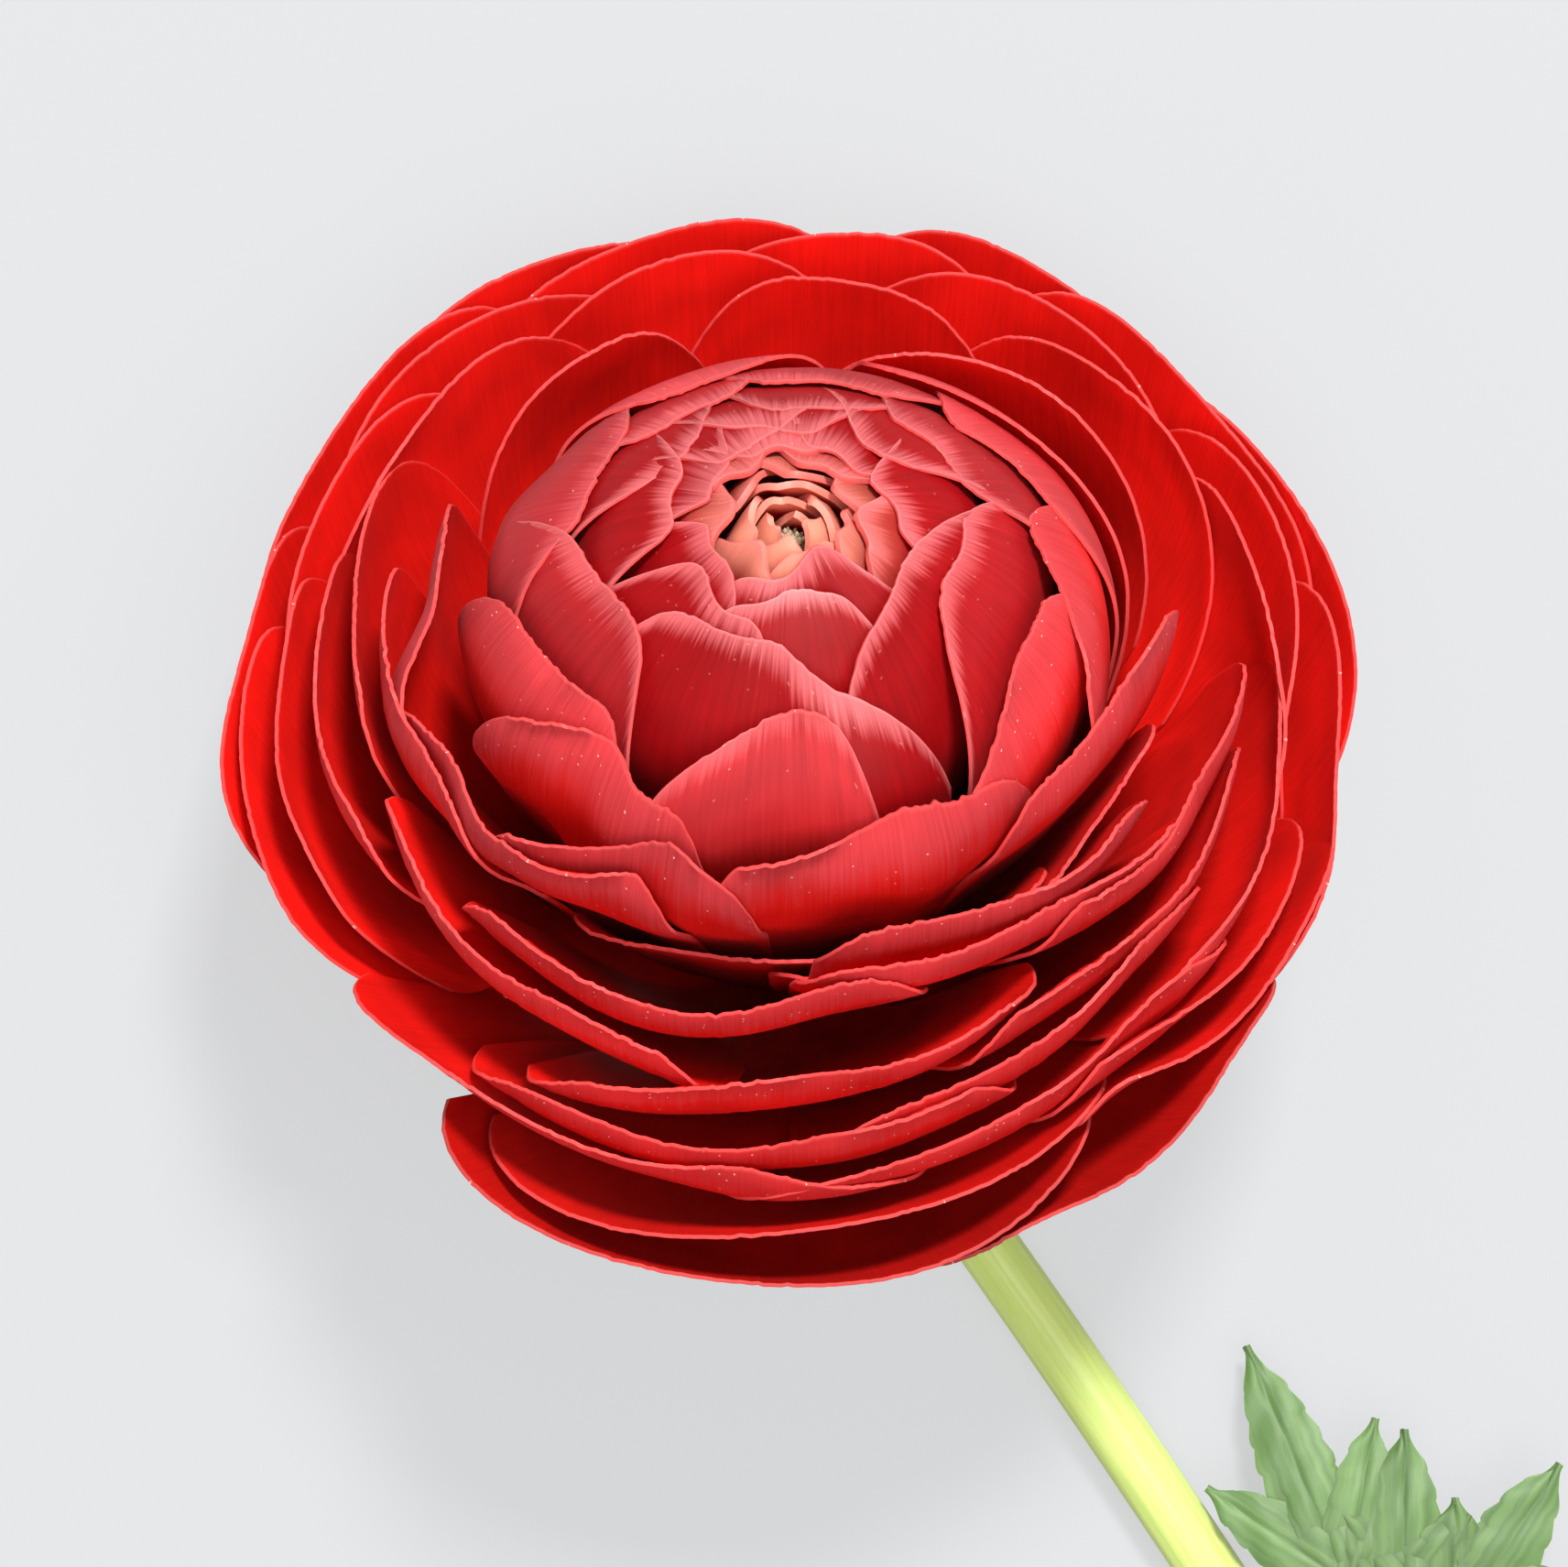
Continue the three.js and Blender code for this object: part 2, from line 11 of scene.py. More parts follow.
import bpy
import numpy as np
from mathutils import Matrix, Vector


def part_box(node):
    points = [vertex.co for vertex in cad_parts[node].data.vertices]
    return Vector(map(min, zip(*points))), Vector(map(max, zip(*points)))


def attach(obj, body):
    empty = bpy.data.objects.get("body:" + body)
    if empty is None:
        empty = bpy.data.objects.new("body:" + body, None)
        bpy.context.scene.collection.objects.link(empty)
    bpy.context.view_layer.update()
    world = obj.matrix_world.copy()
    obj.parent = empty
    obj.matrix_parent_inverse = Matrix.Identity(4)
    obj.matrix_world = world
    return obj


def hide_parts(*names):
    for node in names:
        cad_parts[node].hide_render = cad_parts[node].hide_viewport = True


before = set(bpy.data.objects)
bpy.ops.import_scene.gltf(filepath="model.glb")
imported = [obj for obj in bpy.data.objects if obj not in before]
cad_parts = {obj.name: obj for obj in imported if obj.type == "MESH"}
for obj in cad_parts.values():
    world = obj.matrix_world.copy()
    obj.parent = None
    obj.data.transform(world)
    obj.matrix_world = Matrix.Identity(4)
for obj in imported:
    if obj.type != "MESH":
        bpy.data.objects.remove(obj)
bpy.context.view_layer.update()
print("nodes:", sorted(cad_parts))

# %% [markdown]
# ## Sizes and frames
#
# Blender works in metres, while a petal is easier to think of in millimetres. The bloom is shaped standing
# upright, with its axis along Z, in millimetres, and one function then lays it down: it is turned back by
# the angle at which it lies, and moved to where the receptacle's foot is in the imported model.

# %% The bloom's driving sizes and how it lies
MM = 0.001
EYE_HEIGHT = 44.0  # from the receptacle's foot to the innermost rims
REACH = 36.0  # rim radius of a petal shell at full size
LIE_ANGLE = math.radians(36)  # from the vertical to the bloom's axis
FOOT_HEIGHT = 9.5  # of the receptacle's foot above the surface
HEART_LOW, HEART_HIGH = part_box("heart")
STEM_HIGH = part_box("stem")[1]
STEM_RADIUS = 2.15
CALYX_THICKNESS = 1.1
FIT_GAP = 0.3  # between two pieces that touch
STEM_START = -(CALYX_THICKNESS + 2 * FIT_GAP)
UP = np.array([0, -math.sin(LIE_ANGLE), math.cos(LIE_ANGLE)])

stem_top_rise = STEM_RADIUS * math.cos(LIE_ANGLE) + STEM_START * math.sin(LIE_ANGLE)
FOOT = np.array([(HEART_LOW.x + HEART_HIGH.x) / 2 / MM, STEM_HIGH.y / MM - stem_top_rise, FOOT_HEIGHT])


def lay_down(points):
    """Points of the upright bloom to the flower as it lies, both in mm."""
    x, y, z = points[..., 0], points[..., 1], points[..., 2]
    cos, sin = math.cos(LIE_ANGLE), math.sin(LIE_ANGLE)
    return np.stack([x, y * cos + z * sin, z * cos - y * sin], axis=-1) + FOOT


print("the receptacle's foot, mm:", FOOT.round(2))

# %% Small helpers for shaping
def mix(a, b, t):
    return a + (b - a) * t


def smooth(t):
    """Goes from 0 to 1 with a soft start and end."""
    t = np.clip(t, 0, 1)
    return t * t * (3 - 2 * t)


def between(value, start, end):
    """Goes softly from 0 at start to 1 at end."""
    return smooth((value - start) / (end - start))


def chance(number, salt):
    """A repeatable draw between 0 and 1."""
    x = math.sin(number * 12.9898 + salt * 78.233) * 43758.5453
    return x - math.floor(x)


def only(obj):
    """Makes obj the only selected and the active object."""
    bpy.ops.object.select_all(action="DESELECT")
    obj.select_set(True)
    bpy.context.view_layer.objects.active = obj
    return obj


def positions(obj):
    values = np.empty(len(obj.data.vertices) * 3, np.float32)
    obj.data.vertices.foreach_get("co", values)
    return values.reshape(-1, 3).astype(float)


def place(obj, points):
    """Moves the vertices of obj to the points, given in mm."""
    obj.data.vertices.foreach_set("co", (points * MM).astype(np.float32).ravel())
    obj.data.update()


def paint(obj, name, values):
    """Stores three numbers at each vertex, for the material to read."""
    layer = obj.data.attributes.get(name) or obj.data.attributes.new(name, "FLOAT_VECTOR", "POINT")
    layer.data.foreach_set("vector", np.asarray(values, np.float32).ravel())


def finish(obj, angle=50):
    """Puts soft light over gentle bends and keeps sharp edges sharp."""
    only(obj)
    bpy.ops.object.shade_smooth_by_angle(angle=math.radians(angle))
    return obj


def join(name, parts):
    only(parts[0])
    for part in parts:
        part.select_set(True)
    bpy.ops.object.join()
    parts[0].name = name
    return parts[0]


def thicken(obj, thickness):
    """Gives a sheet an even thickness in mm, half to each side."""
    only(obj)
    wall = obj.modifiers.new("wall", "SOLIDIFY")
    wall.thickness = thickness * MM
    wall.offset = 0
    bpy.ops.object.modifier_apply(modifier=wall.name)


# %% [markdown]
# ## The shells that petals lie on
#
# In a full double bloom each petal is a spoon: it leaves the receptacle outward, bellies, and curls in at
# its rim. Near the eye the petals close over the centre, and further out they open. So the petals lie on a
# family of nested shells, and a shell is named by the radius of its rim. Its profile is one smooth curve
# from foot to rim. Where it would reach the surface that the flower lies on, it is pressed flat.

# %% The sizes of the shells
# Pairs go from the smallest shell, at the eye, to a full size one.
WIDEST = 1.12  # the widest shell, as a share of a full size one
FOOT_RADIUS = (2.0, 6.0)
FOOT_RISE = (7.0, 0.0)
FOOT_SLOPE = (72.0, 4.0)
FOOT_SLOPE_POWER = 0.9
RIM_SLOPE = (165.0, 78.0)
RIM_SLOPE_POWER = 1.05
RIM_DROP = 24.0  # how much lower than the eye a full size shell's rim lies
RIM_DROP_POWER = 1.9
BACK_LIFT = 9.5  # how much higher its rim stands at the back, and lower at the front
FULLNESS = 1.18  # how far a shell bellies out
FRONT_BULGE = 10.0
FRONT_SLOPE = 42.0
PIT_DEPTH, PIT_REACH = 0.7, 2.6  # the dip in the middle of the eye
LIP_LEAN = 44.0  # how much less steeply the petals round the eye close over it

# The curl at the rim: how far it turns, and its length on young and on full petals
CURL_TURN = 60.0
CURL_LENGTH = (8.0, 4.0)
LEAST_CURL = 1e-4
HOOD = 0.55  # share of the curl on the petals that stand close behind the eye

# Between which rim radii, as shares of a full size one, each change is made
FRONT_OPENS = (0.2, 0.65)
CURL_STARTS = (0.25, 0.45)
CURL_SHORTENS = (0.5, 0.7)
HOOD_STARTS = (0.1, 0.22)
HOOD_ENDS = (0.42, 0.62)
# And the same in millimetres
CURL_FADES = (31.5, 34.0)
LEAN_FADES = (2.5, 5.5)

# The pressed petals: the outermost lies flat on the surface, and the others lie on it
OUTER_RIM = 38.6
PRESSED_LEAST = 0.216  # height of the middle of the outermost petal's sheet
PRESSED_GAP = 0.6  # and how much higher a shell lies for each millimetre that it is further in


# %% A shell's slopes and curl
def frontness(azimuth):
    """1 on the side that faces up from the surface, 0 on the side that lies on it."""
    return between(-np.sin(azimuth), -0.6, 0.8)


def slopes(rho, size, azimuth, front):
    """The slopes at which a shell leaves its foot and reaches its rim."""
    inner = np.minimum(size, 1)
    at_foot = mix(*FOOT_SLOPE, inner**FOOT_SLOPE_POWER)
    bulge = FRONT_BULGE * np.sin(azimuth) * 4 * size * (1 - inner)
    own = mix(*RIM_SLOPE, inner**RIM_SLOPE_POWER) - bulge
    at_rim = np.radians(mix(own, FRONT_SLOPE, front * between(size, *FRONT_OPENS)))
    lean = np.radians(LIP_LEAN) * (1 - between(rho, *LEAN_FADES))
    return np.radians(at_foot), at_rim - lean


def rim_curl(rho, size, front):
    """How far a shell turns in at its rim, and over what length."""
    hooded = HOOD * (1 - front) * between(size, *HOOD_STARTS) * (1 - between(size, *HOOD_ENDS))
    share = front * between(size, *CURL_STARTS) * (1 - between(rho, *CURL_FADES)) + hooded
    return np.radians(CURL_TURN) * share + LEAST_CURL, mix(*CURL_LENGTH, between(size, *CURL_SHORTENS))


# %% The shell of a given rim radius
def shell(rho, azimuth, v):
    """A point of the upright bloom on the shell of rim radius rho, v going from foot (0) to rim (1)."""
    size = np.clip(rho / REACH, 0, WIDEST)
    front = frontness(azimuth)
    foot_r, foot_z = mix(*FOOT_RADIUS, size), mix(*FOOT_RISE, size)
    pit = PIT_DEPTH * (1 - smooth(rho / PIT_REACH))
    rim_z = EYE_HEIGHT - pit - RIM_DROP * size**RIM_DROP_POWER + BACK_LIFT * size**3 * np.sin(azimuth)
    foot_slope, rim_slope = slopes(rho, size, azimuth, front)
    ahead_r, ahead_z = np.cos(rim_slope), np.sin(rim_slope)

    # Where the profile would end if its curl were rolled out straight
    curl, curled = rim_curl(rho, size, front)
    radius = curled / curl
    whole_in, whole_back = radius * (1 - np.cos(curl)), radius * np.sin(curl) - curled
    end_r = rho + whole_in * ahead_z - whole_back * ahead_r
    end_z = rim_z - whole_in * ahead_r - whole_back * ahead_z

    # A cubic from foot to end, which leaves and arrives at the two slopes
    pull = FULLNESS * np.hypot(end_r - foot_r, end_z - foot_z)
    h00, h10 = 2 * v**3 - 3 * v**2 + 1, v**3 - 2 * v**2 + v
    h01, h11 = 3 * v**2 - 2 * v**3, v**3 - v**2
    r = h00 * foot_r + h10 * pull * np.cos(foot_slope) + h01 * end_r + h11 * pull * ahead_r
    z = h00 * foot_z + h10 * pull * np.sin(foot_slope) + h01 * end_z + h11 * pull * ahead_z

    # The last stretch is rolled up again, and what would reach the surface is pressed flat
    chord = np.hypot(rho - foot_r, rim_z - foot_z)
    t = np.clip(1 - (1 - v) * 1.1 * chord / curled, 0, 1)
    to_axis, back = radius * (1 - np.cos(curl * t)), radius * np.sin(curl * t) - curled * t
    r = np.maximum(r - to_axis * ahead_z + back * ahead_r, 0.1)
    z = z + to_axis * ahead_r + back * ahead_z
    point = np.stack([r * np.cos(azimuth), r * np.sin(azimuth), z], axis=-1)
    least = PRESSED_LEAST + PRESSED_GAP * np.maximum(0, OUTER_RIM - rho) - FOOT_HEIGHT
    lift = np.maximum(0, least - point @ UP)
    return point + lift[..., None] * UP


print("the eye's height, mm:", round(float(shell(0.0, 0.0, 1.0) @ UP) + FOOT_HEIGHT, 1))

# %% [markdown]
# ## Where each petal sits
#
# The petals were read from the photograph, from the middle out, as a gardener would describe them:
# at what azimuth a petal sits, how far out its rim is, how wide it spreads to each side, and whether one
# end tucks in or both ends flare out. Azimuth 90 is the side that lies on the surface. Round the very eye
# the smallest petals follow the golden angle, as seeds in a sunflower do, so a formula seats them.

# %% The plan of the bloom
# azimuth, rim radius, half width, tuck (how much further out the counter-clockwise end is), flare, and
# for short petals the share of a full length that they have
GOLDEN_ANGLE = 137.5
EYE_TURNS = 12
EYE_SEATS = [(GOLDEN_ANGLE * k + 60, 0.65 + 0.265 * k, 74 - 2.6 * k, -0.5, -0.1) for k in range(EYE_TURNS)]
EYE_SEATS += [
    (95, 3.5, 42, -0.3, 0), (30, 3.7, 42, -0.3, 0), (160, 3.8, 42, -0.3, 0), (65, 4.2, 38, -0.3, 0),
    (125, 4.3, 38, -0.3, 0), (-4, 4.2, 34, 0, 0), (96, 4.8, 38, -0.3, 0),
]
EYE_PETALS = len(EYE_SEATS)
BUD_SEATS = [
    (-85, 3.2, 56, -0.4, 1.2), (-150, 5.0, 40, 0, 0.6), (-90, 5.6, 40, -0.2, 0.9),
    (-130, 6.8, 38, 0, 1.1),
    (150, 5.2, 40, -0.4, 0), (60, 5.5, 40, -0.5, 0), (16, 6.3, 38, 0, 0), (112, 6.0, 38, -0.5, 0),
    (-30, 7.6, 50, -1.2, 3.8), (-103, 8.4, 50, 0.2, 2.0), (165, 7.4, 36, -0.6, 0.4),
    (98, 7.2, 40, -0.6, 0), (50, 8.4, 38, -1.6, 0.4), (-14, 10.3, 36, -1, 2.0), (140, 9.2, 36, -0.4, 0),
    (84, 9.8, 38, -0.6, 0), (-163, 11.6, 36, -1, 2.2),
]
CROWN_SEATS = [
    (38, 11.6, 36, -2, 0.4), (-97, 12.9, 26, -2.2, 4.2), (122, 11.8, 36, -0.4, 0), (80, 13.2, 38, -1, 0),
    (155, 13.4, 34, -0.6, 0), (-155, 16.4, 32, -2, 0.4), (-31, 16.4, 32, -2, 1.2), (112, 15.0, 34, -0.6, 0),
    (-3, 17.0, 26, -3.6, 0.7), (34, 15.8, 34, -3, 0), (-134, 17.2, 28, -3.4, 0.4),
    (-72, 18.0, 34, -2.7, 0.6),
    (46, 18.8, 40, -4, -1.6), (-120, 20.8, 26, -3.0, 0.6), (-20, 21.6, 34, 2.8, 1.0),
    (-142, 21.9, 34, -3.0, 0.6),
]
HEAD_SEATS = [
    (-102, 22.6, 34, 0, 0, 0.8), (-64, 23.6, 30, 0, 0, 0.84), (-30, 23.4, 30, 0, 0, 0.84),
    (175, 22.6, 30, -1.6, 0), (55, 23.0, 34, -5, -1.8), (122, 24.4, 28, -0.6, 0), (-54, 24.0, 34, 1.4, 0),
    (-54, 25.3, 36, 1.8, 0.4), (-170, 25.2, 32, -1.2, 0), (-106, 26.2, 38, -1.3, -0.6),
    (-22, 27.3, 32, 2.4, 0),
    (-132, 28.0, 34, 0.6, 0), (-88, 28.7, 38, -1.9, 0), (-36, 28.6, 34, 0.5, 0.6),
    (166, 29.0, 32, -2.6, 0),
]
MANTLE_SEATS = [
    (-56, 29.4, 34, -1.6, 0), (84, 28.8, 30, -1, 0), (180, 30.4, 32, -1.6, 0), (46, 30.6, 30, -1, 0),
    (-97, 30.9, 38, -1.6, -0.6), (140, 31.0, 32, -1.4, 0), (-16, 31.8, 30, 0.4, 0),
    (-62, 31.4, 38, -1.7, 0),
    (14, 31.6, 30, 1.2, 0), (-112, 32.2, 40, -1.6, 0.4), (105, 32.4, 32, -1, 0), (-178, 33.0, 28, -1, 0),
    (-32, 33.2, 30, 2.2, 0), (-88, 34.2, 42, -1.2, -0.6),
]
SKIRT_SEATS = [
    (62, 33.6, 30, -1, 0), (-32, 34.6, 30, 2.6, 0), (152, 34.4, 32, -1, 0), (22, 34.6, 30, 2.2, 0),
    (-176, 35.4, 26, -0.8, 0), (-92, 36.0, 42, -0.5, -1.8), (84, 35.4, 28, -0.6, 0),
    (-50, 35.6, 28, 0, -0.4),
    (130, 36.0, 34, -1, 0), (-2, 36.0, 30, 0.4, 0), (42, 37.2, 32, -0.6, 0), (170, 36.8, 26, -0.6, 0),
    (104, 37.2, 32, -0.6, 0), (142, 38.0, 30, -1, 0), (30, 38.2, 30, -0.6, 0), (66, 38.6, 32, -0.6, 0),
    (118, 38.8, 30, -0.6, 0),
]
WHORLS = {
    "petals_eye": EYE_SEATS,
    "petals_bud": BUD_SEATS,
    "petals_crown": CROWN_SEATS,
    "petals_head": HEAD_SEATS,
    "petals_mantle": MANTLE_SEATS,
    "petals_skirt": SKIRT_SEATS,
}
print("petals:", sum(len(seats) for seats in WHORLS.values()))

# %% [markdown]
# ## Seating the petals
#
# Real petals press on each other but never pass through. Here each is first given the form that it would
# have on its own: rounded shoulders, a belly, and slow waves towards the rim. Then, from the middle out, it
# is eased outward wherever it would come closer than a small gap to those inside it, level by level, so that
# its end rides over the belly of its neighbour. The pushes are softened, and so some petals still cross.

# %% One petal's own form
CLAW_WIDTH = 0.34  # width at the foot, as a share of the full width
FULL_WIDTH_FROM = 0.6
FULL_SIZE_RIM = 14  # petals with a smaller rim radius have smaller waves
GROWN = (4, 18)
# How far the shoulders drop, and how late: a high power keeps a petal's top flat and its corners square
FRONT_SHOULDER = (0.16, 9.0)
BACK_SHOULDER = (0.4, 2.8)
BUD_SHOULDER = (0.17, 3.6)
EYE_SHOULDER = (0.07, 2.6)
SHOULDER_DRAW = (0.8, 1.2)
RIM_SLANT = 0.05
RIM_WAVE = 0.008
BELLY = 0.5
BELLY_LEVEL, BELLY_SPAN = 0.8, 0.16
SWELL_HEIGHT = 0.3
LEAST_RHO = 0.25
# Each petal's red is a little lighter or darker at random, and the lowest petals on the front get painted
# shade
TONE_DRAW = (0.94, 1.08)
PAINTED_SHADE_TONE = 0.62
PAINTED_SHADE_RIMS = (33, 35)


class Petal:
    def __init__(self, number, seat):
        self.number = number
        self.azimuth, self.rim, self.half, self.tuck, self.flare, *short = seat
        self.reach = short[0] if short else 1
        back = (1 + math.sin(math.radians(self.azimuth))) / 2
        grown = between(self.rim, *GROWN)
        back_shoulder = [mix(small, full, grown) for small, full in zip(BUD_SHOULDER, BACK_SHOULDER)]
        drop, power = [mix(*pair, back) for pair in zip(FRONT_SHOULDER, back_shoulder)]
        self.drop = drop * mix(*SHOULDER_DRAW, chance(number, 5))
        self.power = power * mix(*SHOULDER_DRAW, chance(number, 6))
        if number < EYE_PETALS:
            self.drop, self.power = EYE_SHOULDER
        self.slant = (chance(number, 7) - 0.5) * RIM_SLANT
        self.phase = 2 * math.pi * chance(number, 8)
        self.size = min(1, self.rim / FULL_SIZE_RIM)

    def top(self, u):
        """How much of the shell's length the petal has, u going from -1 to 1 across it."""
        wave = self.slant * u + RIM_WAVE * np.sin(5 * u + self.phase)
        return self.reach * (1 - self.drop * np.abs(u) ** self.power + wave)

    def spread(self, u, v):
        """The azimuth of a point, in degrees."""
        width = mix(CLAW_WIDTH, 1, smooth(v / FULL_WIDTH_FROM))
        return self.azimuth + self.half * width * u

    def tone(self):
        """How light the petal's red is: a random tone, with painted shade on the lowest front petals."""
        front = between(-math.sin(math.radians(self.azimuth)), 0.4, 0.8)
        painted_shade = between(self.rim, *PAINTED_SHADE_RIMS) * front
        return mix(*TONE_DRAW, chance(self.number, 11)) * mix(1, PAINTED_SHADE_TONE, painted_shade)

    def own_rho(self, u, v):
        """The shell that a point would lie on if nothing were inside it."""
        line = self.rim + self.tuck * u + self.flare * u**2
        belly = BELLY * self.size * (1 - u**2) * np.exp(-(((v - BELLY_LEVEL) / BELLY_SPAN) ** 2))
        swell = SWELL_HEIGHT * self.size * np.sin(4.5 * u + 2 * self.phase) * v**3
        return np.maximum(line + belly + swell, LEAST_RHO)


# %% From the middle out
LEVELS = np.concatenate([np.linspace(0.1, 0.8, 8), np.linspace(0.84, 1, 5)])
ACROSS = np.linspace(-1, 1, 49)
BINS = 360
LIP_GAP, PETAL_GAP = 0.6, 0.45  # between rims, in the bud and further out
GAP_NARROWS = (8, 16)
SOFTEN = np.hanning(17) / np.hanning(17).sum()
LEAST_PUSH = 0.4  # share of the push that softening always leaves
WIDENED = 6  # samples to each side that a push is widened by before it is softened
WIDENED_TO_RIM = 24
RIM_SLACK = 0.02
taken = np.zeros((len(LEVELS), BINS))


def seat(petal):
    """Eases a petal clear of those inside it and marks the room that it takes."""
    u, v = np.meshgrid(ACROSS, LEVELS)
    around = petal.spread(u, v) % BINS
    bins = np.arange(BINS + 1)
    inside = np.stack([np.interp(row, bins, np.append(t, t[0])) for row, t in zip(around, taken)])
    gap = mix(LIP_GAP, PETAL_GAP, between(petal.rim, *GAP_NARROWS))
    push = np.maximum(0, inside + gap - petal.own_rho(u, v))
    if petal.rim < WIDENED_TO_RIM:
        padded = np.pad(push, ((0, 0), (WIDENED, WIDENED)), mode="edge")
        push = np.lib.stride_tricks.sliding_window_view(padded, 2 * WIDENED + 1, axis=1).max(axis=-1)
    pad = len(SOFTEN) // 2
    eased = [np.convolve(np.pad(row, pad, mode="edge"), SOFTEN, mode="valid") for row in push]
    petal.push = np.maximum(np.array(eased), LEAST_PUSH * push)
    room = petal.own_rho(u, v) + petal.push
    for level, height in enumerate(LEVELS):
        edges = petal.spread(ACROSS, height)
        degrees = np.arange(math.ceil(edges[0]), edges[-1])
        at = np.interp(degrees, edges, ACROSS)
        held = petal.top(at) + RIM_SLACK >= height
        slots = degrees.astype(int) % BINS
        reached = np.maximum(taken[level, slots], np.interp(at, ACROSS, room[level]))
        taken[level, slots] = np.where(held, reached, taken[level, slots])


def seated_rho(petal, u, v):
    """The shell that a point of a seated petal lies on."""
    level = np.clip(np.interp(v, LEVELS, np.arange(len(LEVELS))), 0, len(LEVELS) - 1.001)
    low = level.astype(int)
    at = np.clip((u + 1) / 2 * (len(ACROSS) - 1), 0, len(ACROSS) - 1.001)
    left = at.astype(int)
    f, h = level - low, at - left
    p = petal.push
    pushed = mix(mix(p[low, left], p[low, left + 1], h), mix(p[low + 1, left], p[low + 1, left + 1], h), f)
    return petal.own_rho(u, v) + pushed


petals = {}
number = 0
for whorl, seats in WHORLS.items():
    petals[whorl] = []
    for row in seats:
        petal = Petal(number, row)
        seat(petal)
        petals[whorl].append(petal)
        number += 1
print("furthest push, mm:", round(max(p.push.max() for group in petals.values() for p in group), 2))

# %% [markdown]
# ## Making the petals
#
# A grid primitive is the flat blank that every petal is cut from. Each copy is bent onto its shells, and
# its rim is crimped with waves about a millimetre long. All petals of a whorl become one piece, and a
# Solidify modifier gives them their thickness. Every vertex remembers two triples for the material. Its
# blade is how far across its petal it is, how far from the rim, and how light that petal is, with painted
# shade on the lowest front petals. Its face is whether it is on the outside, how far down the dusty pink
# reaches, and how much peach there is.

# %% The blank and its copies
PETAL_THICKNESS = 0.24
LIP_THICKNESS = 0.45  # of the petals round the eye, which roll up
PETAL_GRID, BUD_GRID, EYE_GRID = (140, 16), (100, 16), (44, 14)


def blank(columns, rows):
    bpy.ops.object.select_all(action="DESELECT")
    bpy.ops.mesh.primitive_grid_add(x_subdivisions=columns, y_subdivisions=rows, size=2)
    return bpy.context.object


# %% Crimped rims
# height, length and turn of each wave
CRIMPS = [(0.06, 2.3, 0.4), (0.045, 1.1, 1.9), (0.035, 0.62, 3.1)]
CRIMP_SUM = 0.1  # about what the waves add up to
CRIMP_DEPTH = 0.06  # how far they stand out of the petal's sheet
CALMER = (26, 34)  # further out than this the crimps are half as high


def crimp(petal, across, salt):
    """Fine waves along the rim, in mm, at a distance across in mm."""
    wave = np.zeros_like(across)
    for height, length, turn in CRIMPS:
        drift = 1.7 * np.sin(across * 0.9 + petal.phase * turn + salt)
        wave += height * np.sin(2 * math.pi * across / length + drift + petal.phase * 3 * turn + salt)
    return wave * (0.6 + 0.4 * np.sin(across * 0.7 + petal.phase + salt))


# %% One petal bent and painted
FOOT_LEVEL = 0.08
ROW_CROWDING = 1.5  # how much closer the rows stand towards the rim, 1 for even rows
RIM_ZONE = 12  # the power that keeps the crimps near the rim
SHELL_LENGTH = 40.5
LIP_CURL, LIP_CURL_FROM = 0.15, 0.95
LIP_CURL_AT, LIP_CURL_SPAN = 8, 5
PETAL_STEP = 60  # moves each petal to a place of its own in the patterns
# How far down from the rim the dusty pink reaches, on front petals, on outer ones and in the bud
FRONT_DUST, OUTER_DUST, BUD_DUST = 4.4, 2.8, 26
DUST_SHRINKS = (22, 30)
BUD_REACH = 13.5
PEACH_REACH = 3.5


def shape_petal(obj, petal):
    flat = positions(obj)
    u = flat[:, 0]
    t = (flat[:, 1] + 1) / 2
    v = 1 - (1 - FOOT_LEVEL) * (1 - t) ** ROW_CROWDING
    across = u * math.radians(petal.half) * max(petal.rim, 4)
    near_rim = v**RIM_ZONE
    calm = mix(1, 0.5, between(petal.rim, *CALMER))
    edge = crimp(petal, across, 0) * mix(0.1, 1, petal.size) * calm / SHELL_LENGTH
    along = v * petal.top(u) + near_rim * edge
    fine = CRIMP_DEPTH * petal.size * calm
    rho = seated_rho(petal, u, along) + near_rim * fine * crimp(petal, across, 2) / CRIMP_SUM
    azimuth = np.radians(petal.spread(u, along))
    curls = LIP_CURL * math.exp(-(((petal.rim - LIP_CURL_AT) / LIP_CURL_SPAN) ** 2))
    lip = curls * between(v, LIP_CURL_FROM, 1)
    away = np.stack([0.5 * np.cos(azimuth), 0.5 * np.sin(azimuth), np.ones_like(azimuth)], axis=-1)
    place(obj, lay_down(shell(rho, azimuth, along) + lip[:, None] * away))

    depth = (1 - v) * petal.top(u) * SHELL_LENGTH
    place_in_pattern = across + PETAL_STEP * petal.number
    # The blade's third number is the petal's random tone, with painted shade on the lowest front petals
    paint(obj, "blade", np.stack([place_in_pattern, depth, 0 * u + petal.tone()], axis=-1))
    grown_dust = mix(FRONT_DUST, OUTER_DUST, between(petal.rim, *DUST_SHRINKS))
    dust = mix(grown_dust, BUD_DUST, math.exp(-((petal.rim / BUD_REACH) ** 4)))
    peach = math.exp(-((petal.rim / PEACH_REACH) ** 4)) * (petal.number < EYE_PETALS)
    paint(obj, "face", np.stack([0 * u, 0 * u + dust, 0 * u + peach], axis=-1))


